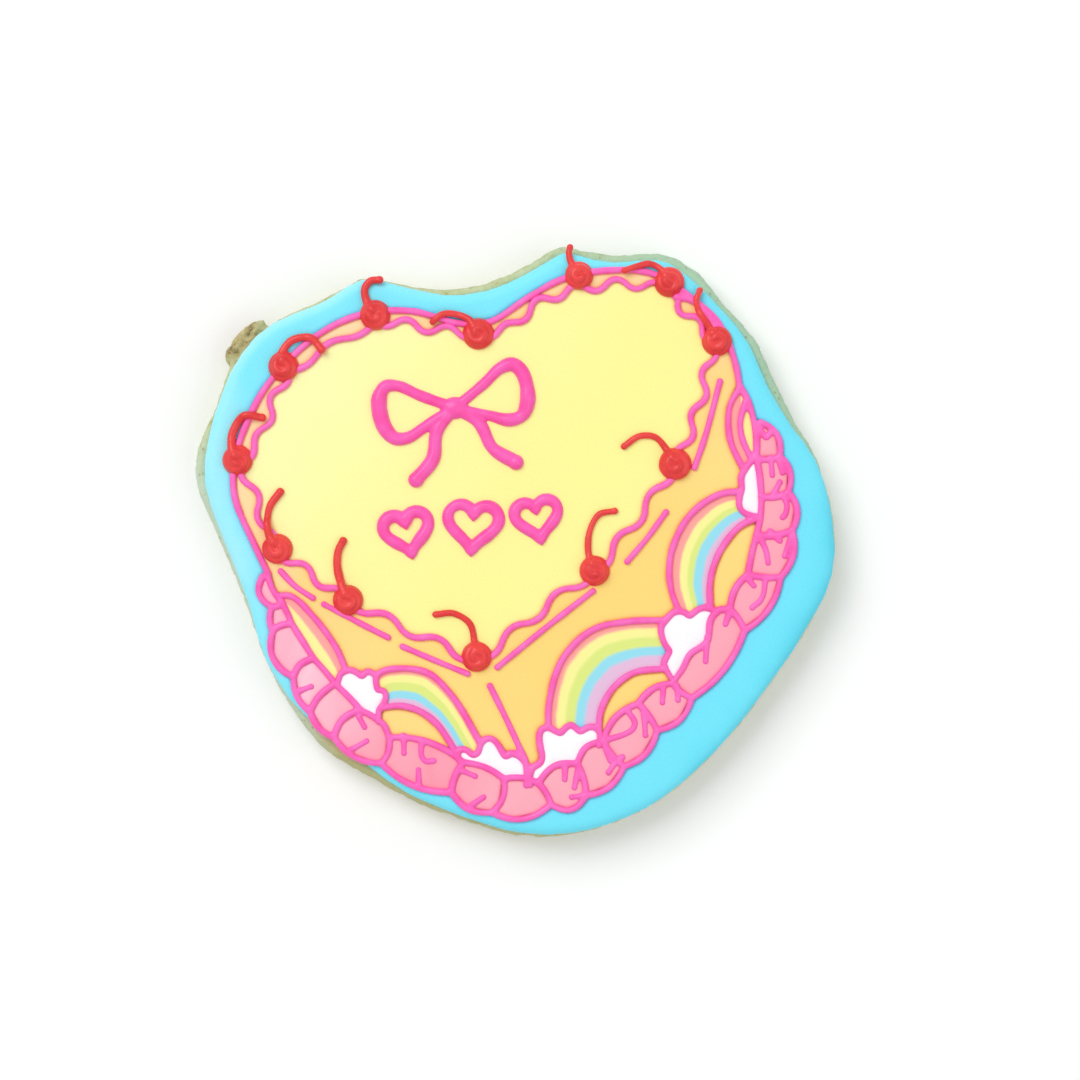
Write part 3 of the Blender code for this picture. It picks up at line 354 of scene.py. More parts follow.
# Side of the cake
# Orange icing flooded between the heart, the rainbows and the shell border, as one side, three fillings
# under the rainbows and a thin paler strip round the heart.
SIDE_STOPS = ((0.08, "#FDE2AA"), (0.2, "#FDDF9C"), (0.29, "#FDDC88"), (0.5, "#FEE085"), (0.8, "#FEDC7C"))
orange_finish = flooded_finish("orange_royal_icing", SIDE_STOPS, (14, -14), (14, 62), rings=True)
side_names = (("cake_side", "side_flood"), ("arch_fill_1", "arch_flood_1"), ("arch_fill_2", "arch_flood_2"),
              ("arch_fill_3", "arch_flood_3"))
for node, name in side_names:
    side = remeshed(name, cad_copy(node, FLOOD_CUT), FLOOD_VOXEL, 6, swell=SNUG)
    reshape(side, settled)
    dress(side, orange_finish, "orange_icing", node)

# Rainbows
# Five colours flooded side by side while wet, so that each bleeds a little into the next. They run across
# each band from its outer line to its inner line.
RAINBOW_VOXEL = 0.3 * MM
# Outer and inner line of each rainbow in the plan
RAINBOWS = (
    (((6.7, -36.6), (6.6, -30.5), (9.0, -22.0), (14.6, -16.3), (21.6, -14.6), (30.0, -14.4)),
     ((16.0, -36.8), (16.3, -31.6), (18.6, -27.2), (22.6, -24.2), (30.4, -23.4))),
    (((45.0, 9.8), (38.6, 9.2), (33.0, 5.2), (29.6, -1.6), (29.4, -8.0), (31.6, -14.2)),
     ((46.8, 5.2), (42.4, 3.2), (38.4, -2.0), (36.8, -7.6), (37.2, -14.6))),
    (((-27.2, -26.2), (-24.2, -23.8), (-16.4, -24.1), (-11.6, -28.4), (-5.7, -38.2)),
     ((-27.0, -31.2), (-20.4, -30.5), (-15.0, -33.2), (-8.8, -42.6))),
    (((-44.4, -9.8), (-41.6, -9.9), (-37.6, -13.6), (-33.2, -19.6), (-30.9, -25.2)),
     ((-46.0, -13.0), (-42.6, -18.6), (-38.6, -23.6), (-34.4, -28.2))),
    (((42.5, 29.4), (40.5, 25.6), (40.6, 19.4), (43.8, 12.6)),
     ((42.5, 29.4), (44.0, 26.7), (45.2, 21.6), (45.6, 12.8))),
)
BAND_CODES = ("#FFA8A0", "#FAF79B", "#E0EE85", "#96E1F2", "#E6C0DF")
# Where each band's stripes meet, as shares of its width, and the stripes that it has
STRIPES = (
    ((0.16, 0.34, 0.54, 0.72), BAND_CODES), ((0.25, 0.44, 0.59, 0.80), BAND_CODES),
    ((0.17, 0.37, 0.60, 0.80), BAND_CODES), ((0.3, 0.62), ("#FFAAA3", "#FBF79F", "#E2EE95")),
    ((0.55,), ("#FFAAA3", "#FCF59C")),
)
# Half the width, as a share of the band's, in which two stripes run together
BLEED = 0.03


def spline(points, closed=False, fine=10):
    """Smooth curve through points in plan millimetres, finely sampled (centripetal Catmull-Rom)."""
    knots = [Vector(p[:2]) for p in points]
    count = len(knots)
    if closed:
        ring = [knots[-1]] + knots + knots[:2]
    else:
        ring = [2 * knots[0] - knots[1]] + knots + [2 * knots[-1] - knots[-2]]
    path = []
    for i in range(count if closed else count - 1):
        p0, p1, p2, p3 = ring[i:i + 4]
        d1 = max((p1 - p0).length, 0.01) ** 0.5
        d2 = max((p2 - p1).length, 0.01) ** 0.5
        d3 = max((p3 - p2).length, 0.01) ** 0.5
        m1 = (p2 - p1) + d2 * ((p1 - p0) / d1 - (p2 - p0) / (d1 + d2))
        m2 = (p2 - p1) + d2 * ((p3 - p2) / d3 - (p3 - p1) / (d2 + d3))
        for k in range(fine):
            t = k / fine
            path.append((2 * t**3 - 3 * t**2 + 1) * p1 + (t**3 - 2 * t**2 + t) * m1
                        + (-2 * t**3 + 3 * t**2) * p2 + (t**3 - t**2) * m2)
    if not closed:
        path.append(knots[-1])
    return path


def rainbow_finish(name, edges, codes):
    """Wet-on-wet royal icing: satin like the other floods, its stripes soft where they ran together."""
    finish, tree, shader, place = new_finish(name, 0.5)
    shader.inputs["Specular IOR Level"].default_value = 0.3
    across = add_node(tree, "ShaderNodeAttribute", attribute_name="across")
    bleed = add_node(tree, "ShaderNodeTexNoise", {"Vector": place, "Scale": 1 / (3.0 * MM), "Detail": 2.0})
    wander = add_node(tree, "ShaderNodeMapRange", {
        "Value": bleed.outputs["Fac"], "To Min": -BLEED, "To Max": BLEED})
    ragged = add_node(tree, "ShaderNodeMath", {
        0: wander.outputs["Result"], 1: across.outputs["Fac"]}, operation="ADD")
    tone = add_node(tree, "ShaderNodeValToRGB", {"Fac": ragged.outputs[0]})
    stops = []
    for low, high, code in zip((0.0, *edges), (*edges, 1.0), codes):
        stops += [(low + BLEED, code), (high - BLEED, code)]
    set_ramp(tone, stops)
    tree.links.new(tone.outputs["Color"], shader.inputs["Base Color"])
    grain = add_node(tree, "ShaderNodeTexNoise", {"Vector": place, "Scale": 1 / SUGAR_GRAIN, "Detail": 2.0})
    bump = add_node(tree, "ShaderNodeBump", {
        "Height": grain.outputs["Fac"], "Strength": 0.4, "Distance": 0.03 * MM})
    tree.links.new(bump.outputs["Normal"], shader.inputs["Normal"])
    return finish


for number, ((outer, inner), (edges, codes)) in enumerate(zip(RAINBOWS, STRIPES), 1):
    band = remeshed(f"rainbow_flood_{number}", cad_copy(f"rainbow_{number}"), RAINBOW_VOXEL, 6, swell=SNUG)
    reshape(band, settled)
    outside = tree_of(spline(outer, fine=40))
    inside = tree_of(spline(inner, fine=40))
    attribute = band.data.attributes.new("across", "FLOAT", "POINT")
    for vertex in band.data.vertices:
        here = plan(vertex.co)
        far, near = outside.find(here)[2], inside.find(here)[2]
        attribute.data[vertex.index].value = far / max(far + near, 1e-6)
    dress(band, rainbow_finish(f"rainbow_icing_{number}", edges, codes), "rainbow_icing", f"rainbow_{number}")

# Clouds
# Thick white icing pushed into lobes at the feet of the rainbows, puffed up a little above the floods.
PUFF_VOXEL = 0.25 * MM
PUFF_SWELL = 0.25 * MM
PUFF_TOP_LIMIT = 9.5 * MM
PUFF_EDGE_DROP = 0.15
CLOUD_RISE, CLOUD_REACH = 0.75, 1.3
white_finish = flooded_finish("white_royal_icing", ((0.0, "#FFFFFF"), (1.0, "#FDFDFF")), (-40, 0), (40, 0),
                              depth=0.15)


def puffed(node, name, rise, reach):
    """The node's flat icing, pillowed: it rises from its edge to a soft crown, by so many millimetres and
    within such a reach."""
    piece = remeshed(name, cad_copy(node), PUFF_VOXEL, 6, swell=PUFF_SWELL)
    reshape(piece, settled)
    edge = tree_of([plan(v.co) for v in piece.data.vertices if abs(v.normal.z) < SIDE_SLOPE])

    def crowned(place, normal):
        height = place.z
        if normal.z > 0.2 and height > PUFF_TOP_LIMIT:
            inward = edge.find(plan(place))[2]
            height += (rise * (1 - math.exp(-inward / reach)) - PUFF_EDGE_DROP) * MM
        return place.x, place.y, height

    reshape(piece, crowned)
    return piece


for number in range(1, 6):
    cloud = puffed(f"cloud_{number}", f"cloud_puff_{number}", CLOUD_RISE, CLOUD_REACH)
    dress(cloud, white_finish, "white_icing", f"cloud_{number}")

# Shell border
# Nineteen puffs of salmon icing piped side by side along the foot of the cake, each pillowed between its
# pink lines.
SHELL_RISE, SHELL_REACH = 0.55, 1.2
SALMON_STOPS = ((0.02, "#FEB6C9"), (0.07, "#FEC9D8"), (0.13, "#FEBCCC"), (0.22, "#FEADBE"), (0.34, "#FD9BAF"),
                (0.5, "#FEAFBE"), (1.0, "#FEA8B8"))
salmon_finish = flooded_finish("salmon_royal_icing", SALMON_STOPS, (-46, -8), (46, -18), depth=0.2)
for number in range(1, 20):
    shell = puffed(f"shell_{number:02d}", f"shell_puff_{number:02d}", SHELL_RISE, SHELL_REACH)
    dress(shell, salmon_finish, "salmon_icing", f"shell_{number:02d}")

# Pink piped lines
# Stiff royal icing squeezed through a fine round tip and laid along every outline. The line keeps its round
# top, thickens where the piping slowed, and ends in a small blob where the tip stopped.
# Outer line of the cake, from its left corner over the top to the right, and its end there
CAKE_EDGE = (
    (-46.1, -5.4), (-48.4, -0.5), (-52.2, 8.6), (-52.3, 15.4), (-49.2, 24.4), (-45.3, 30.8),
    (-37.1, 38.8), (-28.9, 42.8), (-19.4, 43.6), (-9.7, 41.2), (-4.3, 41.6), (3.1, 46.3),
    (9.3, 49.6), (18.0, 51.2), (26.0, 50.6), (32.5, 46.7), (38.5, 41.2), (41.4, 34.4),
    (42.4, 29.4),
)
SIDE_RIGHT = ((42.4, 29.4), (43.9, 26.7), (45.2, 22.6))
# For each stretch between cherries: where it starts, points of its middle course, its half waves, and
# whether the first one goes outwards (1) or inwards (-1)
HEART_STRETCHES = (
    ((-25.9, 41.4), ((-20.2, 41.1), (-14.6, 40.2)), 5, -1),
    ((-6.6, 39.3), ((-1.4, 40.2), (2.8, 43.6), (6.3, 45.9), (10.5, 47.3), (16.1, 48.3), (21.6, 48.7)),
     10, -1),
    ((28.4, 47.4), ((32.2, 43.4),), 4, 1),
    ((37.2, 37.6), ((36.2, 32.0), (34.4, 24.8)), 6, 1),
    ((30.3, 14.9), ((26.3, 8.9), (21.9, 2.9)), 5, 1),
    ((15.2, -5.1), ((8.3, -10.1), (2.0, -15.0)), 5, 1),
    ((-6.9, -21.2), ((-14.8, -18.4), (-22.4, -14.9)), 5, 1),
    ((-31.0, -10.6), ((-37.6, -6.0),), 4, -1),
    ((-44.2, -1.0), ((-47.9, 7.2),), 4, -1),
    ((-50.4, 15.2), ((-47.1, 20.6), (-45.2, 26.0)), 5, -1),
    ((-42.0, 32.2), ((-38.5, 34.5), (-33.0, 37.4)), 3, -1),
)
# Ends of the lines between shells: inner and outer, left to right
BORDER_STATIONS = (
    ((-46.1, -5.4), (-47.0, -6.2)), ((-43.5, -10.8), (-45.3, -11.8)), ((-41.5, -15.1), (-45.1, -16.4)),
    ((-37.4, -21.6), (-41.2, -25.0)), ((-33.4, -26.3), (-38.1, -31.5)), ((-28.6, -31.2), (-33.6, -36.3)),
    ((-23.3, -36.3), (-24.8, -41.2)), ((-9.4, -41.0), (-11.6, -46.6)), ((-1.8, -44.1), (-4.0, -50.4)),
    ((4.7, -45.0), (7.0, -48.9)), ((12.0, -41.3), (13.6, -47.2)), ((16.8, -37.1), (20.7, -41.8)),
    ((23.4, -30.0), (26.9, -35.0)), ((29.7, -26.2), (33.4, -29.0)), ((40.6, -12.3), (43.3, -16.3)),
    ((43.9, -5.8), (50.1, -6.3)), ((45.5, 1.6), (52.2, 2.5)), ((46.4, 8.8), (51.5, 9.7)),
    ((45.5, 16.0), (49.9, 16.4)), ((45.2, 22.6), (46.4, 22.7)),
)
# How far each shell bulges towards the cake and outwards, and its separator's bow
BORDER_BULGES = (
    (-0.5, 1.6, 0.0), (0.1, 0.5, 0.5), (0.0, 2.1, -0.5), (0.1, 1.0, -0.9), (0.1, 0.9, -0.7),
    (0.3, 1.4, -1.2), (1.5, 1.6, 0.7), (0.7, 1.4, -0.5), (0.7, 2.0, 1.0), (1.6, 1.9, 0.4),
    (1.3, 1.4, 0.4), (1.4, 1.4, -0.3), (1.0, 1.5, 0.3), (0.7, 1.5, -0.3), (0.9, 1.5, 0.3),
    (0.1, 1.3, -0.3), (-0.3, 1.3, -0.6), (-0.2, 1.2, -0.6), (-0.3, 1.5, -0.5),
)
# Shells whose cake side isn't one plain scallop: the places it runs through between its two ends
BORDER_ROUTES = {
    5: ((-26.0, -32.6), (-24.1, -34.2)),
    13: ((31.7, -23.5), (33.0, -20.8), (36.2, -18.5), (36.9, -14.4), (38.4, -12.5)),
}
# Folds piped inside the shells
SHELL_FOLDS = (
    ((-39.8, -27.5), (-37.9, -26.8)), ((-28.9, -32.6), (-27.9, -34.4)),
    ((-30.2, -38.5), (-28.7, -37.7), (-27.5, -37.0)), ((-20.6, -36.0), (-20.5, -39.3)),
    ((-17.2, -37.0), (-17.2, -39.8), (-16.4, -40.8), (-14.9, -40.7)), ((-17.7, -45.2), (-17.8, -42.4)),
    ((-9.5, -42.6), (-7.2, -43.6)), ((-7.7, -48.9), (-5.6, -47.5)), ((9.7, -41.2), (9.6, -44.2)),
    ((12.2, -42.0), (11.4, -45.7)), ((13.4, -47.2), (10.9, -47.5)), ((16.9, -37.4), (18.1, -40.6)),
    ((20.4, -40.0), (19.1, -41.1), (17.8, -42.9)),
    ((21.4, -31.4), (22.7, -33.4), (22.4, -34.7), (20.9, -35.7), (17.8, -36.7)),
    ((24.4, -31.0), (24.7, -35.9)), ((28.1, -26.6), (27.9, -29.8)), ((30.6, -26.6), (30.8, -29.3)),
    ((40.6, -12.6), (39.7, -15.1)), ((36.3, -17.6), (36.0, -22.1)), ((43.7, -6.4), (45.0, -7.9)),
    ((47.3, -6.3), (46.5, -10.3), (44.7, -12.0)), ((46.0, 1.4), (47.3, -1.3), (47.7, -3.6)),
    ((52.2, 1.6), (50.8, -2.3)), ((48.1, 2.3), (49.9, 0.5)),
    ((50.4, 9.2), (51.2, 7.2), (50.9, 5.4), (50.4, 4.9)),
    ((48.2, 16.0), (48.5, 12.8)), ((49.6, 16.0), (50.4, 13.3)), ((48.8, 9.4), (49.9, 11.5)),
    ((45.4, 22.4), (46.5, 21.0), (47.3, 19.8), (48.2, 20.8)),
)
# Clouds: the lobed line, clockwise from one end on the border to the other, and a place under the border
CLOUDS = (
    (((-33.0, -26.5), (-32.5, -24.6), (-30.7, -23.7), (-29.3, -24.2), (-28.4, -24.8), (-27.4, -24.0),
      (-26.0, -24.6), (-25.7, -26.4), (-25.4, -27.4), (-24.3, -27.6), (-23.9, -28.6), (-24.3, -30.0),
      (-25.2, -31.2), (-25.3, -33.3)), (-30.6, -33.0)),
    (((-9.9, -41.1), (-10.5, -39.7), (-10.0, -38.6), (-8.8, -38.7), (-7.6, -39.6), (-6.7, -39.2),
      (-6.2, -37.7), (-5.5, -36.8), (-4.3, -36.5), (-3.2, -37.3), (-2.2, -38.9), (-1.5, -39.8),
      (-0.4, -39.3), (1.2, -39.9), (2.3, -41.2), (2.5, -42.8), (2.4, -45.3)), (-3.6, -47.0)),
    (((3.1, -45.2), (3.0, -43.4), (3.6, -42.0), (5.0, -41.1), (5.4, -40.0), (5.0, -38.0),
      (4.8, -35.8), (5.5, -34.7), (6.6, -34.5), (7.8, -35.1), (8.8, -35.5), (9.7, -34.6),
      (10.8, -34.0), (11.7, -34.6), (12.5, -35.2), (13.8, -34.5), (15.1, -34.4), (16.1, -35.3),
      (16.3, -36.5), (16.0, -37.8)), (10.4, -44.4)),
    (((30.0, -25.9), (28.6, -23.6), (28.2, -22.3), (28.9, -20.9), (29.2, -20.1), (28.5, -19.1),
      (27.8, -17.4), (27.6, -15.8), (28.3, -14.6), (29.5, -13.3), (30.6, -12.7), (32.0, -12.9),
      (33.0, -13.5), (34.2, -12.6), (35.6, -12.0), (36.9, -12.2), (38.1, -12.9)), (37.0, -24.0)),
    (((46.0, 4.9), (44.6, 5.2), (43.2, 5.8), (42.3, 7.0), (42.4, 8.9), (42.8, 10.3), (42.6, 12.4),
      (43.4, 13.9), (44.4, 15.3), (45.5, 16.3)), (48.4, 10.4)),
)
# Line inside the fifth rainbow, strokes on the cake's side, its front seam, and a patch of solid pink
ARCH_MIDDLE = ((43.4, 26.4), (42.5, 22.8), (42.9, 19.6), (44.7, 15.6))
SIDE_STROKES = (
    ((38.7, 30.4), (35.9, 20.0), (33.9, 14.2)), ((-43.6, -5.2), (-41.0, -7.9), (-37.6, -10.2)),
    ((-35.5, -11.4), (-29.4, -14.6), (-23.5, -17.6)), ((-20.8, -19.3), (-14.0, -22.2), (-8.6, -24.4)),
    ((14.9, -8.9), (5.8, -16.0), (-3.0, -23.2)), ((28.6, 5.9), (25.2, 1.2), (21.3, -3.4)),
)
SEAM_STROKE = ((-4.4, -26.7), (-1.2, -33.2), (2.2, -40.6))
FILLED_PATCH = ((30.6, 46.2), (33.6, 45.6), (36.6, 42.4), (37.6, 40.6))
WAVE_DEPTH = 0.9
WAVE_FLATNESS = 0.85
WAVE_STEPS = 9
LINE_RADIUS = 0.64
FINE_RADIUS = LINE_RADIUS * 0.95
PATCH_RADIUS = LINE_RADIUS * 1.3
LINE_AXIS = ICING_TOP + 0.36
LINE_VOXEL = 0.2 * MM
# How much a line's thickness breathes over short and long stretches, and how much wider its end blobs are
SHORT_BREATH, LONG_BREATH = 0.13, 0.12
SHORT_STRETCH, LONG_STRETCH = 2.6, 9.0
BLOB = 1.07
# How far beyond its outer line the border hides what runs under it
BORDER_MARGIN = 4.0


def arc(start, end, bulge, fine=12):
    """Arc whose middle stands out to the left of start to end."""
    a, b = Vector(start), Vector(end)
    out = Vector((a.y - b.y, b.x - a.x)).normalized() * bulge
    return [a.lerp(b, k / fine) + out * 4 * (k / fine) * (1 - k / fine) for k in range(fine + 1)]


def heart_line():
    """Closed zigzag line of the heart, with its waves laid over a smooth outline."""
    knots = []
    starts = []
    for start, between, _, _ in HEART_STRETCHES:
        starts.append(len(knots))
        knots.append(start)
        knots.extend(between)
    fine = 16
    base = spline(knots, closed=True, fine=fine)
    starts.append(len(knots))
    path = []
    for (_, _, half_waves, way), first, last in zip(HEART_STRETCHES, starts, starts[1:]):
        stretch = [base[i % len(base)] for i in range(first * fine, last * fine + 1)]
        lengths = [0.0]
        for a, b in zip(stretch, stretch[1:]):
            lengths.append(lengths[-1] + (b - a).length)
        steps = half_waves * WAVE_STEPS
        for k in range(steps):
            place = lengths[-1] * k / steps
            i = max(n for n in range(len(lengths) - 1) if lengths[n] <= place)
            along = (stretch[i + 1] - stretch[i]).normalized()
            spot = stretch[i] + along * (place - lengths[i])
            outward = Vector((-along.y, along.x))
            wave = math.sin(math.pi * half_waves * k / steps)
            path.append(spot + outward * way * WAVE_DEPTH * math.copysign(abs(wave) ** WAVE_FLATNESS, wave))
    return path


def within(spot, outline):
    """Whether a place lies inside a closed outline."""
    crossings = 0
    for a, b in zip(outline, outline[1:] + outline[:1]):
        if (a.y > spot.y) != (b.y > spot.y):
            crossings += spot.x < a.x + (spot.y - a.y) / (b.y - a.y) * (b.x - a.x)
    return crossings % 2 == 1


def in_metres(spot, height):
    """A place of the plan and a height in millimetres as a place in the model."""
    return Vector(((spot[0] + PLAN_SHIFT[0]) * MM, (spot[1] + PLAN_SHIFT[1]) * MM, height * MM))


def squeezed(path, radius, closed=False, blobs=True, heights=None, axis=LINE_AXIS, swelling=None):
    """Mesh of one piped line: a round tube whose thickness breathes along it, with blobs at free ends. Its
    heights and how it swells may be given point by point."""
    curve = bpy.data.curves.new("line", "CURVE")
    curve.dimensions = "3D"
    curve.bevel_depth = radius * MM
    curve.bevel_resolution = 3
    curve.use_fill_caps = True
    strand = curve.splines.new("POLY")
    strand.points.add(len(path) - 1)
    strand.use_cyclic_u = closed
    places = []
    for i, (spot, point) in enumerate(zip(path, strand.points)):
        places.append(in_metres(spot, heights[i] if heights else axis))
        point.co = (*places[-1], 1.0)
        short = noise.noise(Vector((spot.x, spot.y, 3.0)) / SHORT_STRETCH)
        long = noise.noise(Vector((spot.x, spot.y, 9.0)) / LONG_STRETCH)
        breath = 1.0 + SHORT_BREATH * short + LONG_BREATH * long
        point.radius = (swelling[i] if swelling else 1.0) * breath
    holder = bpy.data.objects.new("line", curve)
    bpy.context.scene.collection.objects.link(holder)
    mesh = bpy.data.meshes.new_from_object(holder.evaluated_get(bpy.context.evaluated_depsgraph_get()))
    bpy.data.objects.remove(holder, do_unlink=True)
    bpy.data.curves.remove(curve)
    work = bmesh.new()
    work.from_mesh(mesh)
    bpy.data.meshes.remove(mesh)
    if not closed and blobs:
        for end in (0, -1):
            share = swelling[end] if swelling else 1.0
            bmesh.ops.create_uvsphere(work, u_segments=12, v_segments=8, radius=radius * share * BLOB * MM,
                                      matrix=Matrix.Translation(places[end]))
    return work


def fused(name, lines, voxel=LINE_VOXEL, rounds=3):
    """One skin over many piped lines."""
    whole = bmesh.new()
    for line in lines:
        part = bpy.data.meshes.new("part")
        line.to_mesh(part)
        line.free()
        whole.from_mesh(part)
        bpy.data.meshes.remove(part)
    return remeshed(name, whole, voxel, rounds)


def piped_finish(name, code, deep_code, roughness=0.36):
    """Stiff piped royal icing: smooth and dense from the tip, with a satin shine along its round top, and
    the same fine sugar grain as the floods."""
    finish, tree, shader, place = new_finish(name, roughness)
    shader.inputs["Specular IOR Level"].default_value = 0.4
    drift = add_node(tree, "ShaderNodeTexNoise", {"Vector": place, "Scale": 1 / (3.5 * MM), "Detail": 3.0})
    tone = add_node(tree, "ShaderNodeValToRGB", {"Fac": drift.outputs["Fac"]})
    set_ramp(tone, ((0.3, deep_code), (0.62, code)))
    tree.links.new(tone.outputs["Color"], shader.inputs["Base Color"])
    skin = add_node(tree, "ShaderNodeTexNoise", {"Vector": place, "Scale": 1 / SUGAR_GRAIN, "Detail": 2.0})
    bump = add_node(tree, "ShaderNodeBump", {
        "Height": skin.outputs["Fac"], "Strength": 0.4, "Distance": 0.06 * MM})
    tree.links.new(bump.outputs["Normal"], shader.inputs["Normal"])
    return finish


pink_finish = piped_finish("pink_piped_icing", "#FF70C6", "#FF5AB4")
arcs = []
for index, (inward, outward, _) in enumerate(BORDER_BULGES):
    (inner_start, outer_start), (inner_end, outer_end) = BORDER_STATIONS[index:index + 2]
    inner = arc(inner_start, inner_end, inward)
    if index in BORDER_ROUTES:
        inner = spline((inner_start, *BORDER_ROUTES[index], inner_end))
    arcs.append((inner, arc(outer_start, outer_end, -outward)))
inner_chain = [p for inner, _ in arcs for p in inner]
outer_chain = [p for _, outer in arcs for p in outer]
border_band = inner_chain + [p + p.normalized() * BORDER_MARGIN for p in outer_chain[::-1]]
cloud_paths = [spline(points, fine=8) for points, _ in CLOUDS]
covers = [path + [Vector(foot)] for path, (_, foot) in zip(cloud_paths, CLOUDS)] + [border_band]

heart_path = heart_line()
cake_paths = [spline(CAKE_EDGE), spline(SIDE_RIGHT)]
border_paths = [outer for _, outer in arcs] + [inner for inner, _ in arcs]
for index in range(1, len(BORDER_STATIONS) - 1):
    inner_end, outer_end = BORDER_STATIONS[index]
    border_paths.append(arc(inner_end, outer_end, BORDER_BULGES[index][2]))
fold_paths = [spline(fold, fine=6) for fold in SHELL_FOLDS]
rainbow_paths = []
for line in [side for pair in RAINBOWS for side in pair] + [ARCH_MIDDLE]:
    shown = [p for p in spline(line, fine=16) if not any(within(p, cover) for cover in covers)]
    if len(shown) > 2:
        rainbow_paths.append(shown)

heart_piping = fused("heart_piping", [squeezed(heart_path, LINE_RADIUS, closed=True)])
dress(heart_piping, pink_finish, "pink_icing", "pink_piping")
border_piping = fused("border_piping", [squeezed(p, LINE_RADIUS) for p in border_paths]
                      + [squeezed(p, FINE_RADIUS) for p in fold_paths])
dress(border_piping, pink_finish, "pink_icing", "pink_piping")
side_paths = cake_paths + rainbow_paths + cloud_paths + [spline(SEAM_STROKE)]
side_piping = fused("side_piping", [squeezed(p, LINE_RADIUS) for p in side_paths]
                    + [squeezed(spline(FILLED_PATCH), PATCH_RADIUS)])
dress(side_piping, pink_finish, "pink_icing", "pink_piping")
strokes = fused("side_strokes", [squeezed(spline(stroke), FINE_RADIUS) for stroke in SIDE_STROKES])
dress(strokes, pink_finish, "pink_icing", "cake_side")

# Bow and small hearts
# Drawn on the heart in the same pink with a wider tip, so the strokes are fat and glossy, with a loop and a
# tail on each side of a round knot, and three hollow hearts below.
BOW_KNOT = (-11.0, 25.4)
BOW_LOOP = (14.0, 8.6)
BOW_TAIL = (9.5, -12.0)
BOW_ROLL = math.radians(10)
TAIL_COURSE = ((0.0, 0.0), (0.42, 0.3), (0.6, 0.72), (1.0, 1.0))
KNOT_SHAPE = (2.5, 2.15, 1.55)
# Middle, width and roll in degrees of each heart
HEARTS = ((-20.0, 2.4, 8.6, 12), (-7.6, 3.6, 9.6, -4), (4.4, 4.9, 8.2, 10))
STROKE_RADIUS = 1.2
STROKE_AXIS = ICING_TOP + 0.1


def on_bow(x, y):
    """A place on the bow, rolled with it."""
    cos, sin = math.cos(BOW_ROLL), math.sin(BOW_ROLL)
    return Vector((BOW_KNOT[0] + x * cos - y * sin, BOW_KNOT[1] + x * sin + y * cos))


def hollow_heart(x, y, size, roll):
    """Closed heart curve of one width, rolled by an angle in degrees."""
    cos, sin = math.cos(math.radians(roll)), math.sin(math.radians(roll))
    path = []
    for k in range(64):
        angle = 2 * math.pi * k / 64
        u = 16 * math.sin(angle) ** 3
        v = 13 * math.cos(angle) - 5 * math.cos(2 * angle) - 2 * math.cos(3 * angle) - math.cos(4 * angle)
        u, v = u * size / 32, v * size / 32
        path.append(Vector((x + u * cos - v * sin, y + u * sin + v * cos)))
    return path


motif_finish = piped_finish("motif_piped_icing", "#FF62BC", "#FF4FA8", 0.32)
motif = [squeezed(hollow_heart(*row), STROKE_RADIUS, closed=True, axis=STROKE_AXIS) for row in HEARTS]
for side in (-1, 1):
    loop = []
    for k in range(11):
        angle = math.pi * (k / 10 - 0.5)
        reach = BOW_LOOP[0] * math.cos(angle) ** 0.7
        rise = BOW_LOOP[1] * 0.6 * math.sin(2 * angle) + 1.6 * math.cos(angle)
        loop.append(on_bow(side * reach, rise))
    route = spline(loop)
    fat = [0.85 + 0.4 * math.sin(math.pi * k / (len(route) - 1)) ** 2 for k in range(len(route))]
    motif.append(squeezed(route, STROKE_RADIUS, axis=STROKE_AXIS, swelling=fat))
    route = spline([on_bow(side * BOW_TAIL[0] * across, BOW_TAIL[1] * down) for across, down in TAIL_COURSE])
    fat = [0.9 + 0.3 * k / (len(route) - 1) for k in range(len(route))]
    motif.append(squeezed(route, STROKE_RADIUS, axis=STROKE_AXIS, swelling=fat))
knot = bmesh.new()
bmesh.ops.create_uvsphere(knot, u_segments=24, v_segments=12, radius=MM)
bmesh.ops.scale(knot, vec=KNOT_SHAPE, verts=knot.verts)
bmesh.ops.translate(knot, verts=knot.verts, vec=in_metres(BOW_KNOT, ICING_TOP))
motif.append(knot)
bow = fused("bow_and_hearts", motif)
dress(bow, motif_finish, "pink_icing", "heart_top")

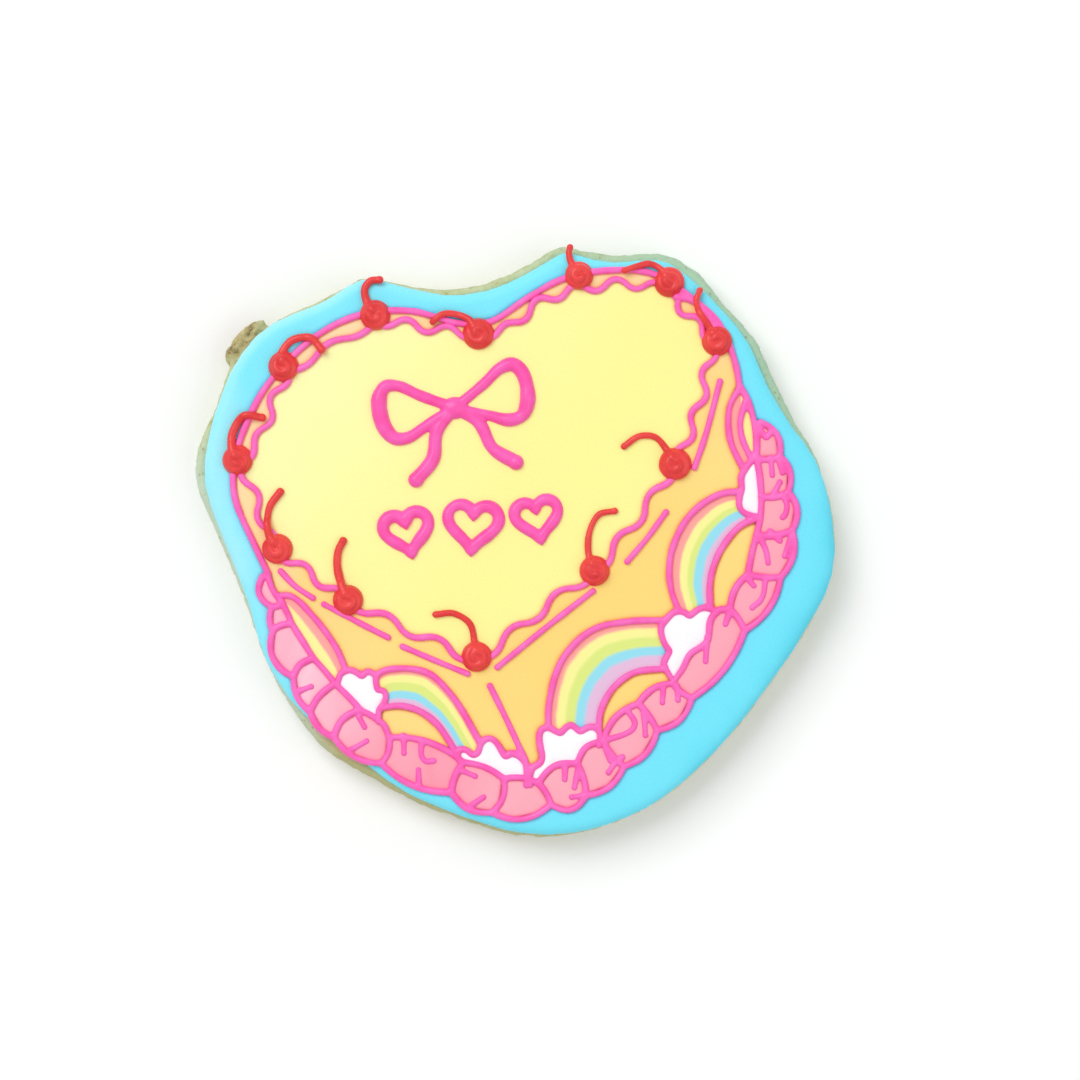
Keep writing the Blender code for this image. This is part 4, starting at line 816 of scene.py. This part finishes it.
# Cherries
# Red icing piped as a low swirl, with the stem drawn out of it in one pull. They sit on the zigzag line, and
# their stems lie over whatever is below.
# Middle, radius and stem of each, the stem from the cherry to its tip
CHERRIES = (
    ((-25.9, 42.8), 2.9, ((-27.3, 44.9), (-27.9, 47.6), (-26.8, 49.2), (-25.1, 49.4))),
    ((-43.1, 33.2), 2.9, ((-43.5, 35.4), (-41.6, 38.0), (-38.0, 38.5), (-35.9, 36.3))),
    ((-6.6, 39.3), 3.0, ((-8.4, 42.0), (-11.7, 43.1), (-13.6, 42.8), (-15.1, 41.5))),
    ((-51.7, 15.6), 2.9, ((-52.6, 17.4), (-52.7, 20.4), (-50.5, 23.9), (-47.1, 23.6))),
    ((-44.2, -1.0), 2.9, ((-45.7, 1.6), (-46.1, 4.1), (-45.6, 7.0), (-43.7, 9.7))),
    ((-31.0, -10.6), 2.9, ((-32.1, -8.0), (-33.0, -4.4), (-32.8, -1.4), (-31.9, 0.5))),
    ((-6.9, -21.2), 2.9, ((-7.3, -18.5), (-8.2, -15.0), (-11.2, -13.1), (-14.6, -13.3))),
    ((15.2, -5.1), 2.9, ((14.1, -2.3), (14.2, 2.0), (16.0, 5.4), (19.0, 6.1))),
    ((30.3, 14.9), 3.1, ((28.8, 17.4), (26.6, 19.9), (23.6, 20.1), (20.7, 18.2))),
    ((38.1, 38.0), 2.9, ((36.4, 40.9), (34.7, 43.5), (34.2, 45.4), (34.9, 47.4))),
    ((29.2, 49.0), 2.9, ((27.7, 51.3), (25.6, 52.4), (23.1, 51.9), (20.8, 51.1))),
    ((12.3, 50.2), 2.7, ((11.1, 52.0), (10.5, 53.6), (10.4, 54.8), (10.6, 55.5))),
)
CHERRY_VOXEL = 0.16 * MM
DOME_FLATNESS = 0.6
DOME_LIFT = 0.3
COIL_RADIUS = 0.8
COIL_INSET = 0.3
COIL_HEART = 0.45
COIL_TURNS = 1.75
COIL_TURN_EACH = 1.7
COIL_STEPS = 90
COIL_LIFT = 0.4
COIL_RISE = 1.2
STEM_RADIUS = 0.62
STEM_LIFT = 0.45
STEM_OVER_LINE = 0.85
STEM_OVER_DOME = 0.9
STEM_LEAVE_STEPS = 14
STEM_FLARE, FLARE_STEPS = 0.55, 9
STEM_TIP = 1.1
# The stems on the left are thicker
STOUT_STEM, STOUT_LEFT_OF = 1.2, -20
red_finish = piped_finish("red_piped_icing", "#F04544", "#E03334", 0.34)
under_stems = tree_of(heart_path + [p for path in cake_paths + border_paths for p in path])

for number, (middle, radius, stem) in enumerate(CHERRIES, 1):
    middle = Vector(middle)
    dome = bmesh.new()
    bmesh.ops.create_uvsphere(dome, u_segments=24, v_segments=16, radius=radius * MM)
    bmesh.ops.scale(dome, vec=(1.0, 1.0, DOME_FLATNESS), verts=dome.verts)
    bmesh.ops.translate(dome, verts=dome.verts, vec=in_metres(middle, ICING_TOP + DOME_LIFT))
    coil, heights = [], []
    for k in range(COIL_STEPS):
        share = k / (COIL_STEPS - 1)
        angle = 2 * math.pi * COIL_TURNS * share + number * COIL_TURN_EACH
        shrink = (1 - share) ** 0.8
        out = (radius - COIL_RADIUS - COIL_INSET) * shrink * min(1.0, 0.85 + 2.5 * share) + COIL_HEART
        coil.append(middle + Vector((out * math.cos(angle), out * math.sin(angle))))
        heights.append(ICING_TOP + COIL_LIFT + COIL_RISE * math.sin(min(1.0, share * 1.1) * math.pi / 2))
    route = spline([middle.lerp(Vector(stem[0]), 0.45)] + list(stem), fine=12)
    lifts = []
    for k, spot in enumerate(route):
        clear = under_stems.find((spot.x, spot.y, 0))[2]
        over = 1.0 / (1.0 + math.exp((clear - 1.3) * 5))
        leave = max(0.0, 1.0 - k / STEM_LEAVE_STEPS)
        lifts.append(ICING_TOP + STEM_LIFT + max(STEM_OVER_LINE * over, STEM_OVER_DOME * leave))
    stout = STOUT_STEM if middle.x < STOUT_LEFT_OF else 1.0
    drawn_out = [stout * (1.0 + STEM_FLARE * math.exp(-k / FLARE_STEPS)) for k in range(len(route))]
    tip = bmesh.new()
    bmesh.ops.create_uvsphere(tip, u_segments=12, v_segments=8, radius=STEM_RADIUS * stout * STEM_TIP * MM,
                              matrix=Matrix.Translation(in_metres(route[-1], lifts[-1])))
    parts = [dome, squeezed(coil, COIL_RADIUS, blobs=False, heights=heights),
             squeezed(route, STEM_RADIUS, heights=lifts, swelling=drawn_out), tip]
    cherry = fused(f"piped_cherry_{number:02d}", parts, voxel=CHERRY_VOXEL, rounds=5)
    dress(cherry, red_finish, "red_icing", f"cherry_{number:02d}")

# Floor, light and camera
# A plain pale sheet of painted board, a broad soft lamp above and to the left, a weaker fill, and a camera
# straight above.
FLOOR_HALF = 3.0
WORLD_STRENGTH = 0.56
CAMERA_PLACE = (4.69 * MM, 0.33 * MM, 0.6103)
CAMERA_LENS = 106.67
CAMERA_SENSOR = 36.0
floor_mesh = bpy.data.meshes.new("floor")
sweep = bmesh.new()
bmesh.ops.create_grid(sweep, x_segments=1, y_segments=1, size=FLOOR_HALF)
sweep.to_mesh(floor_mesh)
sweep.free()
floor = bpy.data.objects.new("floor", floor_mesh)
bpy.context.scene.collection.objects.link(floor)
floor_finish, floor_tree, floor_shader, floor_place = new_finish("pale_board", 0.8)
floor_shader.inputs["Base Color"].default_value = srgb("#FFFFFF")
tooth = add_node(floor_tree, "ShaderNodeTexNoise", {
    "Vector": floor_place, "Scale": 1 / (1.5 * MM), "Detail": 2.0})
matt = add_node(floor_tree, "ShaderNodeMapRange", {
    "Value": tooth.outputs["Fac"], "To Min": 0.7, "To Max": 0.9})
floor_tree.links.new(matt.outputs["Result"], floor_shader.inputs["Roughness"])
floor_mesh.materials.append(floor_finish)


def add_lamp(name, place, size, watts):
    """A square soft lamp that faces the biscuit."""
    data = bpy.data.lights.new(name, "AREA")
    data.size = size
    data.energy = watts
    lamp = bpy.data.objects.new(name, data)
    bpy.context.scene.collection.objects.link(lamp)
    lamp.location = place
    lamp.rotation_euler = (-Vector(place)).to_track_quat("-Z", "Y").to_euler()


add_lamp("key", (-0.9, 1.0, 1.8), 1.4, 25.0)
add_lamp("fill", (1.4, -0.6, 1.6), 1.8, 9.0)
world = bpy.data.worlds.new("studio")
bpy.context.scene.world = world
world.use_nodes = True
sky = world.node_tree.nodes["Background"]
sky.inputs["Color"].default_value = (1.0, 1.0, 1.0, 1.0)
sky.inputs["Strength"].default_value = WORLD_STRENGTH
bpy.context.scene.view_settings.view_transform = "Standard"

camera_data = bpy.data.cameras.new("camera")
camera_data.sensor_width = CAMERA_SENSOR
camera_data.lens = CAMERA_LENS
camera = bpy.data.objects.new("camera", camera_data)
bpy.context.scene.collection.objects.link(camera)
camera.location = CAMERA_PLACE
bpy.context.scene.camera = camera
